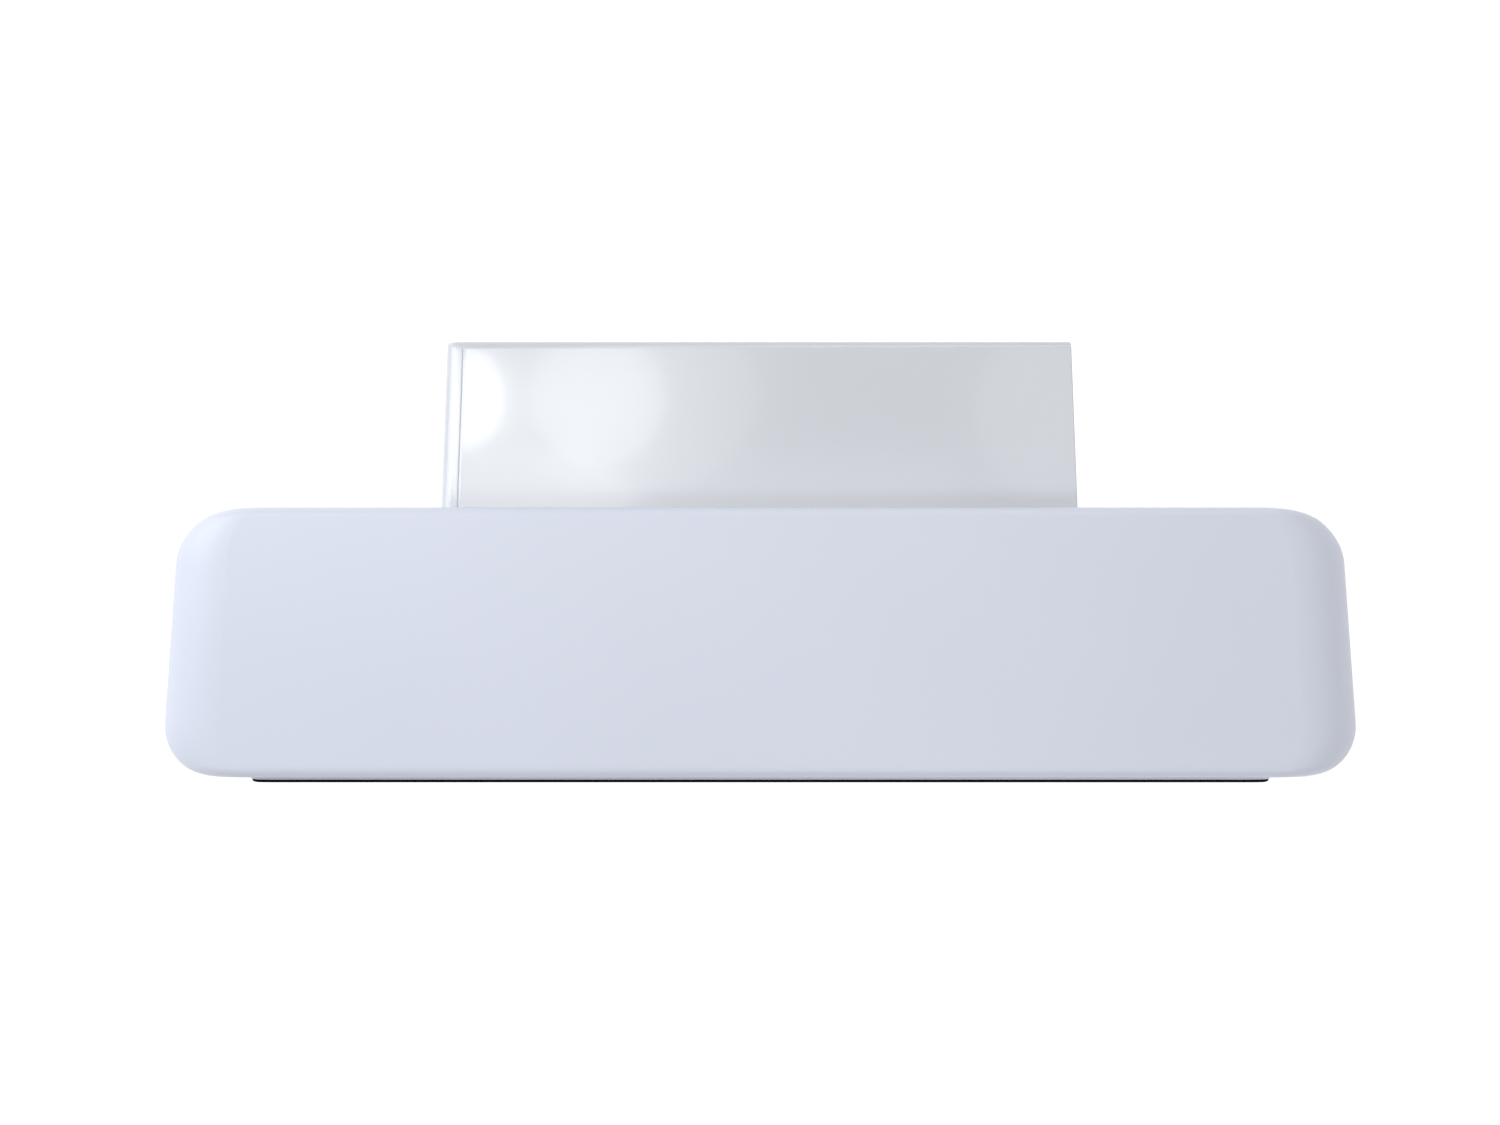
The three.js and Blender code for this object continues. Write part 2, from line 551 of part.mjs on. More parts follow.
// An inverted U: straight sides, a wide fold at the upper left and a steep shoulder at the upper right.
function housingOutline(shrink, bottom) {
  const half = HALF_HOUSING - shrink;
  const fold = FOLD_RADIUS - shrink;
  const top = HOUSING_TOP - shrink;
  const shape = new THREE.Shape();
  shape.moveTo(-half, bottom);
  shape.lineTo(half, bottom);
  shape.lineTo(half, top - SHOULDER.down);
  shape.lineTo(half - SHOULDER.across, top);
  shape.absarc(-half + fold, top - fold, fold, Math.PI / 2, Math.PI);
  shape.closePath();
  return shape;
}

function ventSlots() {
  const x = spread(0, HALF_HOUSING + OVERRUN);
  return FAN_Z.flatMap((fanZ) =>
    Array.from({ length: SLOT_COUNT }, (_, i) => {
      const z = fanZ + (i - (SLOT_COUNT - 1) / 2) * SLOT_PITCH;
      return block(x, spread(MIDDLE_Y, SLOT_LENGTH / 2), spread(z, SLOT_HEIGHT / 2));
    }),
  );
}

const BUTTON_AT = [MIDDLE_Y, BUTTON_Z];
const BREAKER_WINDOW = {
  y: spread(MIDDLE_Y, BREAKER_WINDOW_HALF.y),
  z: spread(BREAKER_Z, BREAKER_WINDOW_HALF.z),
};

function rearHousing() {
  const outer = prism(housingOutline(0, HOUSING_BOTTOM), "y", HOUSING_FRONT, HOUSING_REAR);
  const foot = HOUSING_BOTTOM - OVERRUN;
  const inner = prism(housingOutline(SHEET, foot), "y", HOUSING_FRONT + SHEET, HOUSING_REAR - SHEET);
  const mouthX = spread(0, HALF_HOUSING - FLANGE);
  const mouthY = [HOUSING_FRONT - OVERRUN, HOUSING_REAR + OVERRUN];
  const mouth = block(mouthX, mouthY, [foot, HOUSING_TOP - FLANGE]);
  const wall = [HOUSING_INSIDE - OVERRUN, HALF_HOUSING + OVERRUN];
  const window = block(wall, BREAKER_WINDOW.y, BREAKER_WINDOW.z);
  const buttonHole = rod("x", BUTTON_AT, BEZEL.hole, wall[0], wall[1]);
  const cuts = joined(inner, mouth, window, buttonHole, ...ventSlots());
  return piece("rear_housing", outer.subtract(cuts), LOOK.housingWhite);
}

function housingBackPlate() {
  const shape = housingOutline(SHEET + GAP, HOUSING_BOTTOM + BACK_PLATE_FOOT);
  const back = BACK_PLATE_FRONT + BACK_PLATE_THICKNESS;
  return piece("housing_back_plate", prism(shape, "y", BACK_PLATE_FRONT, back), LOOK.steel);
}

const HANGER_FRONT = BACK_PLATE_FRONT + BACK_PLATE_THICKNESS + GAP;
const HANGER_BACK = HANGER_FRONT + BRACKET_SHEET;

// Cutters for the two lock screws, through a sheet that lies on the level z.
function lockHoles(z) {
  return [-LOCK_SCREW.x, LOCK_SCREW.x].map((x) =>
    rod("z", [x, LOCK_SCREW.y], LOCK_SCREW.hole, z - OVERRUN, z + BRACKET_SHEET + OVERRUN, SMALL_SIDES),
  );
}

function hangerPlate() {
  const x = spread(0, RAIL_WIDTH / 2);
  const shelf = [LIP_TOP + GAP, LIP_TOP + GAP + BRACKET_SHEET];
  const plate = block(x, [HANGER_FRONT, HANGER_BACK], [TAB_Z, shelf[1]]);
  const arm = block(x, [HANGER_FRONT, HOOK.back], shelf);
  const leg = block(x, [HOOK.back - BRACKET_SHEET, HOOK.back], [RAIL_Z + HOOK.overlap, shelf[1]]);
  const tab = block(x, [HANGER_FRONT, TAB_BACK], [TAB_Z, TAB_Z + BRACKET_SHEET]);
  const holes = lockHoles(TAB_Z);
  return piece("hanger_plate", joined(plate, arm, leg, tab).subtract(joined(...holes)), LOOK.steel);
}

function heatSink() {
  const { x, z, back, base, margin } = HEAT_SINK;
  const plate = block(x, [back, back + base], z);
  const pitch = (z[1] - z[0] - 2 * margin) / (FIN.count - 1);
  const fins = Array.from({ length: FIN.count }, (_, i) => {
    return block(x, [back + base - OVERRUN, FIN.end], spread(z[0] + margin + i * pitch, FIN.half));
  });
  return piece("heat_sink", joined(plate, ...fins), LOOK.aluminium);
}

function powerBoard() {
  const { x, z, y: front, module, capacitor } = POWER_BOARD;
  const back = front + POWER_BOARD.thickness;
  const board = block(x, [front, back], z);
  const modules = module.x.map((middle) =>
    block(spread(middle, module.half), [back - LAP, module.end], spread(module.z, module.halfHeight)),
  );
  const capacitors = capacitor.x.map((middle) =>
    rod("y", [middle, capacitor.z], capacitor.radius, back - LAP, capacitor.end, SMALL_SIDES),
  );
  return piece("power_board", joined(board, ...modules, ...capacitors), LOOK.board);
}

function inductor() {
  const profile = new THREE.Shape();
  profile.absarc(INDUCTOR.ring, 0, INDUCTOR.wire, 0, 2 * Math.PI);
  const ring = new THREE.LatheGeometry(profile.getPoints(INDUCTOR.wireSides), INDUCTOR.sides);
  ring.translate(0, INDUCTOR.y, INDUCTOR.z);
  return piece("inductor", solidFrom(ring), LOOK.copper);
}

function fanFrame(name, z) {
  const half = FAN_SIZE / 2;
  const depth = FAN_DEPTH / 2;
  const outer = block(spread(0, depth), spread(0, half), spread(0, half));
  const bore = rod("x", [0, 0], FAN_BORE, -depth - OVERRUN, depth + OVERRUN, FAN_BORE_SIDES);
  const motor = rod("x", [0, 0], FAN_HUB.radius, -depth, -depth + FAN_HUB.motor);
  const struts = Array.from({ length: FAN_STRUT.count }, (_, i) => {
    const strut = new THREE.BoxGeometry(...FAN_STRUT.size);
    strut.translate(-depth + FAN_STRUT.size[0] / 2, 0, FAN_STRUT.middle);
    strut.rotateX((i * 2 * Math.PI) / FAN_STRUT.count);
    return solidFrom(strut);
  });
  const frame = piece(name, joined(outer.subtract(bore), motor, ...struts), LOOK.blackPlastic);
  frame.position.set(FAN_X, MIDDLE_Y, z);
  return frame;
}

function fanRotor(name, z) {
  const depth = FAN_DEPTH / 2;
  const hub = rod("x", [0, 0], FAN_HUB.radius, -depth + FAN_HUB.front, depth - FAN_HUB.rear);
  const blades = Array.from({ length: BLADE_COUNT }, (_, i) => {
    const blade = new THREE.BoxGeometry(BLADE.chord, BLADE.thickness, BLADE.span);
    blade.rotateZ(THREE.MathUtils.degToRad(BLADE_PITCH_DEG));
    blade.translate(BLADE.shift, 0, BLADE.middle);
    blade.rotateX((i * 2 * Math.PI) / BLADE_COUNT);
    return solidFrom(blade);
  });
  const rotor = piece(name, joined(hub, ...blades), LOOK.blackPlastic);
  rotor.position.set(FAN_X, MIDDLE_Y, z);
  return rotor;
}

const PLATE_Z = [HOUSING_BOTTOM, HOUSING_BOTTOM + CONNECTION_PLATE.thickness];
const UNDER_PLATE = PLATE_Z[0] - GAP;
const OVER_PLATE = PLATE_Z[1] + GAP;

function connectionPlate() {
  const half = HOUSING_INSIDE - GAP;
  const y = [HOUSING_FRONT + SHEET + GAP, BACK_PLATE_FRONT - GAP];
  const plate = block(spread(0, half), y, PLATE_Z);
  const flanges = [-1, 1].map((side) => {
    const x = [side * half, side * (half - SHEET)].sort((a, b) => a - b);
    return block(x, y, [PLATE_Z[0], PLATE_Z[1] + CONNECTION_PLATE.flange]);
  });
  const through = [PLATE_Z[0] - OVERRUN, PLATE_Z[1] + OVERRUN];
  const holes = GLAND_X.map((x) => rod("z", [x, MIDDLE_Y], CONNECTION_PLATE.glandHole, through[0], through[1]));
  const earthHole = rod("z", [EARTH.x, MIDDLE_Y], CONNECTION_PLATE.earthHole, through[0], through[1], SMALL_SIDES);
  return piece("connection_plate", joined(plate, ...flanges).subtract(joined(...holes, earthHole)), LOOK.steel);
}

function cableGland(name, x) {
  const at = [x, MIDDLE_Y];
  const body = rod("z", at, GLAND.body, UNDER_PLATE - GLAND.bodyHeight, UNDER_PLATE, HEXAGON);
  const dome = new THREE.CylinderGeometry(GLAND_DOME.top, GLAND_DOME.bottom, GLAND_DOME.height, GLAND_DOME.sides);
  dome.rotateX(Math.PI / 2);
  dome.translate(x, MIDDLE_Y, UNDER_PLATE - GLAND_DOME.middle);
  const plugZ = [UNDER_PLATE - GLAND_PLUG.from, UNDER_PLATE - GLAND_PLUG.to];
  const plug = rod("z", at, GLAND_PLUG.radius, plugZ[0], plugZ[1], SMALL_SIDES);
  const shank = rod("z", at, GLAND.shank, UNDER_PLATE - OVERRUN, OVER_PLATE + GLAND.shankEnd, SMALL_SIDES);
  const nut = rod("z", at, GLAND.nut, OVER_PLATE, OVER_PLATE + GLAND.nutHeight, HEXAGON);
  return piece(name, joined(body, solidFrom(dome), plug, shank, nut), LOOK.blackPlastic);
}

function earthStud() {
  const at = [EARTH.x, MIDDLE_Y];
  const shank = rod("z", at, EARTH.shank, UNDER_PLATE - EARTH.below, OVER_PLATE + EARTH.above, SMALL_SIDES);
  const nut = rod("z", at, EARTH.nut, UNDER_PLATE - EARTH.nutHeight, UNDER_PLATE, HEXAGON);
  const head = rod("z", at, EARTH.nut, OVER_PLATE, OVER_PLATE + EARTH.headHeight, HEXAGON);
  return piece("earth_stud", joined(shank, nut, head), LOOK.copper);
}

// ---- Controls on the right side wall ------------------------------------------------------------------------------

function breakerBody() {
  const y = spread(MIDDLE_Y, BREAKER.halfDepth);
  const back = block(BREAKER.backX, y, spread(BREAKER_Z, BREAKER.backHalf));
  const nose = block(BREAKER.noseX, y, spread(BREAKER_Z, BREAKER.noseHalf));
  const slotX = [LEVER.pivotX - LEVER_SLOT.depth, BREAKER.noseX[1] + OVERRUN];
  const slot = block(slotX, spread(MIDDLE_Y, LEVER_SLOT.half), spread(BREAKER_Z, LEVER_SLOT.halfHeight));
  const footZ = spread(BREAKER_Z, BREAKER.footHalf);
  const foot = block(BREAKER.footX, y, footZ);
  const bracket = block(BREAKER.bracketX, [PANEL_BACK + BRACKET_GAP, y[1]], footZ);
  return piece("breaker_body", joined(back, nose, foot, bracket).subtract(slot), LOOK.greyPlastic);
}

function breakerLever() {
  const hub = rod("y", [0, 0], LEVER.hub, -LEVER.half, LEVER.half);
  const handle = block(LEVER.handle, spread(0, LEVER.half), spread(0, LEVER.handleHalf));
  const lever = piece("breaker_lever", hub.add(handle), LOOK.blackPlastic);
  lever.position.set(LEVER.pivotX, MIDDLE_Y, BREAKER_Z);
  lever.rotation.y = THREE.MathUtils.degToRad(-LEVER.restDeg);
  return lever;
}

const FLAP_Y = spread(MIDDLE_Y, FLAP.half);
const FLAP_X = [HALF_HOUSING + GAP, HALF_HOUSING + GAP + FLAP.thickness];
const HINGE_AT = [FLAP_HINGE.x, FLAP_HINGE.z];

function breakerFlap() {
  const lowEdge = BREAKER_WINDOW.z[0] - FLAP.overlap;
  const plate = block(FLAP_X, FLAP_Y, [lowEdge, FLAP_HINGE.z - LAP]);
  const barrel = rod("y", HINGE_AT, FLAP_HINGE.radius, FLAP_Y[0], FLAP_Y[1], SMALL_SIDES);
  const pinY = [FLAP_Y[0] - FLAP_HINGE.pinEnd, FLAP_Y[1] + FLAP_HINGE.pinEnd];
  const pin = rod("y", HINGE_AT, FLAP_HINGE.pin, pinY[0], pinY[1], SMALL_SIDES);
  const lipX = [FLAP_X[1] - LAP, FLAP_X[1] + FLAP.lip];
  const fingerLip = block(lipX, spread(MIDDLE_Y, FLAP.lipHalf), [lowEdge, lowEdge + FLAP.lipHeight]);
  return piece("breaker_flap", joined(plate, barrel, pin, fingerLip), LOOK.clear);
}

function flapHinge() {
  const top = FLAP_HINGE.z + HINGE_STRIP.top;
  const ear = HINGE_STRIP.ear;
  const y = [FLAP_Y[0] - OVERRUN - ear, FLAP_Y[1] + OVERRUN + ear];
  const strip = block(FLAP_X, y, [FLAP_HINGE.z + HINGE_STRIP.bottom, top]);
  const reach = FLAP_HINGE.radius + EAR_RIM;
  const ears = [y[0], y[1] - ear].map((from) =>
    block([FLAP_X[0], FLAP_HINGE.x + reach], [from, from + ear], [FLAP_HINGE.z - reach, top]),
  );
  const bore = rod("y", HINGE_AT, FLAP_HINGE.bore, y[0] - OVERRUN, y[1] + OVERRUN, SMALL_SIDES);
  return piece("flap_hinge", joined(strip, ...ears).subtract(bore), LOOK.greyPlastic);
}

function buttonBezel() {
  const inner = HALF_HOUSING - BEZEL.depth;
  const outer = HALF_HOUSING + BEZEL.proud;
  const collar = rod("x", BUTTON_AT, BEZEL.collar, HALF_HOUSING + GAP, outer, BEZEL_SIDES);
  const sleeve = rod("x", BUTTON_AT, BEZEL.sleeve, inner, HALF_HOUSING + OVERRUN, BEZEL_SIDES);
  const bore = rod("x", BUTTON_AT, BEZEL.bore, inner - OVERRUN, outer + LAP, BEZEL_SIDES);
  return piece("button_bezel", collar.add(sleeve).subtract(bore), LOOK.aluminium);
}

// The stop ring behind the sleeve keeps the button from falling out.
function powerButton() {
  const stopFace = HALF_HOUSING - BEZEL.depth - GAP;
  const capEnd = HALF_HOUSING + BUTTON.proud;
  const cap = rod("x", BUTTON_AT, BUTTON.radius, stopFace - OVERRUN, capEnd, BUTTON_SIDES);
  const stop = rod("x", BUTTON_AT, BUTTON.stop, stopFace - BUTTON.stopLength, stopFace, BUTTON_SIDES);
  return piece("power_button", cap.add(stop), LOOK.blackPlastic);
}

// ---- Wall bracket -------------------------------------------------------------------------------------------------

function wallBracket() {
  const halfHeight = BRACKET_HEIGHT / 2;
  const outline = roundedRectangle(spread(0, BRACKET_WIDTH / 2), spread(0, halfHeight), BRACKET_RADIUS);
  const plate = prism(outline, "y", -BRACKET_SHEET, 0, EDGE_STEPS);
  const x = spread(0, RAIL_WIDTH / 2);
  const shelf = block(x, [RAIL_REACH, -OVERRUN], [RAIL_Z, RAIL_Z + BRACKET_SHEET]);
  const lip = block(x, [RAIL_REACH, RAIL_REACH + BRACKET_SHEET], [RAIL_Z, LIP_TOP]);
  const foot = block(x, [BRACKET_FOOT, -OVERRUN], [-halfHeight, -halfHeight + BRACKET_SHEET]);
  const wallHoles = [-WALL_SCREW.x, WALL_SCREW.x].flatMap((holeX) =>
    [-WALL_SCREW.z, WALL_SCREW.z].map((z) =>
      rod("y", [holeX, z], WALL_SCREW.radius, -BRACKET_SHEET - OVERRUN, OVERRUN),
    ),
  );
  const solid = joined(plate, shelf, lip, foot).subtract(joined(...wallHoles, ...lockHoles(-halfHeight)));
  return piece("wall_bracket", solid, LOOK.steel);
}

function lockScrew(name, x) {
  const under = -BRACKET_HEIGHT / 2 - GAP;
  const at = [x, LOCK_SCREW.y];
  const head = rod("z", at, LOCK_SCREW.head, under - LOCK_SCREW.headHeight, under, SMALL_SIDES);
  const shank = rod("z", at, LOCK_SCREW.shank, under - OVERRUN, TAB_Z + LOCK_SCREW.reach, SMALL_SIDES);
  return piece(name, head.add(shank), LOOK.steel);
}

// ---- Assembly -----------------------------------------------------------------------------------------------------

function group(...members) {
  const result = new THREE.Group();
  result.add(...members);
  return result;
}

const bracket = group(
  wallBracket(),
  lockScrew("lock_screw_left", -LOCK_SCREW.x),
  lockScrew("lock_screw_right", LOCK_SCREW.x),
);
const cells = Array.from({ length: CELL_COLUMNS * CELL_ROWS }, (_, i) => cell(i));
const pack = group(
  ...cells,
  compressionPlate("compression_plate_left", -1),
  compressionPlate("compression_plate_right", 1),
  ...Object.keys(ROD_Z).map(tieRod),
  busbarCarrier(),
  packLeadNegative(),
  packLeadPositive(),
  mainFuse(),
  contactor(),
  linkPositive(),
  leadGrommet(),
  bmsBoard(),
);
const caseGroup = group(
  bodyShell(),
  frontGlass(),
  lightGuide(),
  displayBoard(),
  rearPanel(),
  panelGasket(),
  pressureVent(),
);
const housing = group(
  rearHousing(),
  housingBackPlate(),
  hangerPlate(),
  heatSink(),
  powerBoard(),
  inductor(),
  fanFrame("fan_frame_lower", FAN_Z[0]),
  fanFrame("fan_frame_upper", FAN_Z[1]),
  fanRotor("fan_rotor_lower", FAN_Z[0]),
  fanRotor("fan_rotor_upper", FAN_Z[1]),
  connectionPlate(),
  cableGland("cable_gland_battery", GLAND_X[0]),
  cableGland("cable_gland_mains", GLAND_X[1]),
  cableGland("cable_gland_data", GLAND_X[2]),
  earthStud(),
);
const controls = group(
  breakerBody(),
  breakerLever(),
  breakerFlap(),
  flapHinge(),
  buttonBezel(),
  powerButton(),
);
const unit = group(caseGroup, pack, housing, controls);

export default group(bracket, unit);
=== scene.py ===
"""Wall battery unit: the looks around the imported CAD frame. Metres, +Z up, wall at y = 0, front towards -Y."""

import json
import math

import bmesh
import bpy
from mathutils import Matrix, Vector


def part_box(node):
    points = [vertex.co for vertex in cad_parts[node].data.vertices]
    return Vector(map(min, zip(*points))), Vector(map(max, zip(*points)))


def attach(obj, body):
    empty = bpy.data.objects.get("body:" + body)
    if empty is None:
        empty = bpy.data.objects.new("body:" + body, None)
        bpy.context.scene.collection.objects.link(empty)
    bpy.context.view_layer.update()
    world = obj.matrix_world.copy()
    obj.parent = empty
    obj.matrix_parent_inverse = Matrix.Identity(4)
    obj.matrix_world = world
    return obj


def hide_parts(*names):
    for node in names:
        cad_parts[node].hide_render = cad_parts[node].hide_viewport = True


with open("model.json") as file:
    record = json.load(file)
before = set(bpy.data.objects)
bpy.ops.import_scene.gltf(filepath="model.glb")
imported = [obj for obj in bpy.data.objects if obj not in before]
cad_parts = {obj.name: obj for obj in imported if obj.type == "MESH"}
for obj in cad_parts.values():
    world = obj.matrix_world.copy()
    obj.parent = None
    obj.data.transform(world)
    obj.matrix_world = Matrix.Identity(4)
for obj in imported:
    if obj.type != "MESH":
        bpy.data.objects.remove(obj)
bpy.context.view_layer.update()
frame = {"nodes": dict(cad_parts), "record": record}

MM = 0.001
SMOOTH_ANGLE = math.radians(32)
WELD = 1e-7  # points closer than this become one
HEX = 1  # marks a loop of a lathed form that has six sides
ALONG_X, ALONG_Y, ALONG_Z = (1, 0, 0), (0, 1, 0), (0, 0, 1)

# ---- Driving sizes ----

PLAN_ACROSS, PLAN_DEEP = 36 * MM, 28 * MM  # the case's oval corners seen from above
PANEL_RADIUS = 28 * MM
FACE_RADIUS = 43 * MM  # case corners seen from the front
EDGE_RADIUS = 5 * MM  # case edges seen from the side
CORNER_POWER = 2.08  # 2 is a true arc; a little more starts the curve softly
FRONT_CORNER_SHARE = 0.55  # how much of the plan inset the face corner loses towards the front and rear
CASE_WALL = 3 * MM
RECESS_DEPTH = 1.5 * MM
TRIM_WIDTH = 0.9 * MM
TRIM_PROUD = 1.3 * MM
SEAL_WIDTH = 0.6 * MM
REBATE_DEPTH = 4 * MM
LEDGE = 7 * MM
GLASS_RADIUS = 15 * MM
LEFT_FOLD_RADIUS = 10.5 * MM
SHOULDER = (3.1 * MM, 12 * MM)  # how far the right wall leans in, and over what height, to meet the top
SHOULDER_EDGE = 0.8 * MM
REAR_FOLD_RADIUS = 4.2 * MM
END_ROLL = 8 * MM  # the front panel's left and right ends
LEAST_PROUD = 0.1  # share of its height that the panel keeps at those ends
FOOT_RADIUS = 0.5 * MM
REAR_EDGE_RADIUS = 1 * MM  # of the side walls, which are cut rather than folded
GROOVE_SHARE = 0.955  # of the gland nut's radius, between its ribs
SHEET = 1.5 * MM
FLANGE = 13.5 * MM
SEAM_DEPTH, SEAM_HALF = 0.35 * MM, 0.2 * MM
LEVEL_SLACK = 0.001 * MM
SLOT_COUNT = 8
SLOT_PITCH = 7 * MM
SLOT_SIZE = (50 * MM, 3.5 * MM)
WINDOW_HALF = (25 * MM, 15 * MM)  # the rear cover's window for the leads
BREAKER_WINDOW_HALF = (22 * MM, 32.5 * MM)
SCREW_RADIUS = 3.6  # mm, as in the lathed profiles
CORNER_STEPS = 12
SIDE_STEPS = 8
END_STEPS = [0.5 * MM, 0.9 * MM, 1.3 * MM, 2.6 * MM]  # from the end of a corner


def node_box(node):
    return tuple(Vector(corner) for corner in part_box(node))


def node_centre(node, **given):
    """The middle of a node's box, in which a coordinate that is given takes the place of its own."""
    low, high = node_box(node)
    return Vector([given.get(axis, value) for axis, value in zip("xyz", (low + high) / 2)])


def middle(low, high):
    return (low + high) / 2


CASE_LOW, CASE_HIGH = node_box("body_shell")
HOUSING_LOW, HOUSING_HIGH = node_box("rear_housing")
GLASS_LOW, GLASS_HIGH = node_box("front_glass")
LIGHT_LOW, LIGHT_HIGH = node_box("light_guide")


# ---- Procedural materials ----


class Shader:
    """A Principled material with helpers for noise-driven roughness, colour and bump in object space."""

    def __init__(self, name, color, roughness, metallic=0.0, **inputs):
        self.material = bpy.data.materials.new(name)
        self.material.use_nodes = True
        self.nodes = self.material.node_tree.nodes
        self.links = self.material.node_tree.links
        self.bsdf = self.nodes["Principled BSDF"]
        self.set("Base Color", (*color, 1.0))
        self.set("Roughness", roughness)
        self.set("Metallic", metallic)
        for label, value in inputs.items():
            self.set(label.replace("_", " "), value)
        self.coords = self.nodes.new("ShaderNodeTexCoord").outputs["Object"]
        self.normal = None

    def set(self, label, value):
        self.bsdf.inputs[label].default_value = value

    def noise(self, scale, detail, stretch=None):
        texture = self.nodes.new("ShaderNodeTexNoise")
        texture.inputs["Scale"].default_value = scale
        texture.inputs["Detail"].default_value = detail
        source = self.coords
        if stretch:
            mapping = self.nodes.new("ShaderNodeMapping")
            mapping.inputs["Scale"].default_value = stretch
            self.links.new(source, mapping.inputs["Vector"])
            source = mapping.outputs["Vector"]
        self.links.new(source, texture.inputs["Vector"])
        return texture.outputs["Fac"]

    def voronoi(self, scale):
        texture = self.nodes.new("ShaderNodeTexVoronoi")
        texture.inputs["Scale"].default_value = scale
        self.links.new(self.coords, texture.inputs["Vector"])
        return texture.outputs["Color"]

    def spread(self, factor, low, high):
        """Maps a 0..1 factor to low..high."""
        node = self.nodes.new("ShaderNodeMapRange")
        node.inputs["To Min"].default_value = low
        node.inputs["To Max"].default_value = high
        self.links.new(factor, node.inputs["Value"])
        return node.outputs["Result"]

    def vary_roughness(self, factor, low, high):
        self.links.new(self.spread(factor, low, high), self.bsdf.inputs["Roughness"])

    def vary_color(self, factor, first, second):
        ramp = self.nodes.new("ShaderNodeValToRGB")
        ramp.color_ramp.elements[0].position = 0.3
        ramp.color_ramp.elements[1].position = 0.7
        ramp.color_ramp.elements[0].color = (*first, 1.0)
        ramp.color_ramp.elements[1].color = (*second, 1.0)
        self.links.new(factor, ramp.inputs["Fac"])
        self.links.new(ramp.outputs["Color"], self.bsdf.inputs["Base Color"])

    def bump(self, factor, distance, strength):
        node = self.nodes.new("ShaderNodeBump")
        node.inputs["Distance"].default_value = distance
        node.inputs["Strength"].default_value = strength
        self.links.new(factor, node.inputs["Height"])
        if self.normal is not None:
            self.links.new(self.normal, node.inputs["Normal"])
        self.normal = node.outputs["Normal"]
        self.links.new(self.normal, self.bsdf.inputs["Normal"])


def tinted(color, factor):
    return tuple(min(1.0, channel * factor) for channel in color)


def surface(name, color, roughness, rough, tint, bumps, metallic=0.0, **inputs):
    """A material with worked-in variation. A pattern is the arguments of Shader.noise.

    rough is (pattern, least, most), tint is (pattern, two factors of the colour), a bump is (pattern, mm, strength).
    """
    shader = Shader(name, color, roughness, metallic, **inputs)
    pattern, least, most = rough
    shader.vary_roughness(shader.noise(*pattern), least, most)
    if tint:
        pattern, low, high = tint
        shader.vary_color(shader.noise(*pattern), tinted(color, low), tinted(color, high))
    for pattern, depth, strength in bumps:
        shader.bump(shader.noise(*pattern), depth * MM, strength)
    return shader.material


def plastic(name, color, roughness, shine=0.5):
    rough, tint = ((80, 3), roughness - 0.05, roughness + 0.07), ((14, 3), 0.9, 1.12)
    return surface(name, color, roughness, rough, tint, [((1400, 3), 0.05, 0.4)], IOR=1.5, Specular_IOR_Level=shine)


def metal(name, color, roughness, brush=(1, 1, 1)):
    rough, tint = ((220, 4, brush), roughness - 0.08, roughness + 0.1), ((25, 3, brush), 0.9, 1.08)
    return surface(name, color, roughness, rough, tint, [((900, 3, brush), 0.02, 0.4)], 1.0)


def galvanised():
    color = (0.56, 0.58, 0.60)
    shader = Shader("galvanised", color, 0.42, 0.9)
    shader.vary_color(shader.voronoi(170), tinted(color, 0.93), tinted(color, 1.06))
    shader.vary_roughness(shader.noise(90, 4), 0.34, 0.52)
    shader.bump(shader.noise(700, 3), 0.03 * MM, 0.4)
    return shader.material


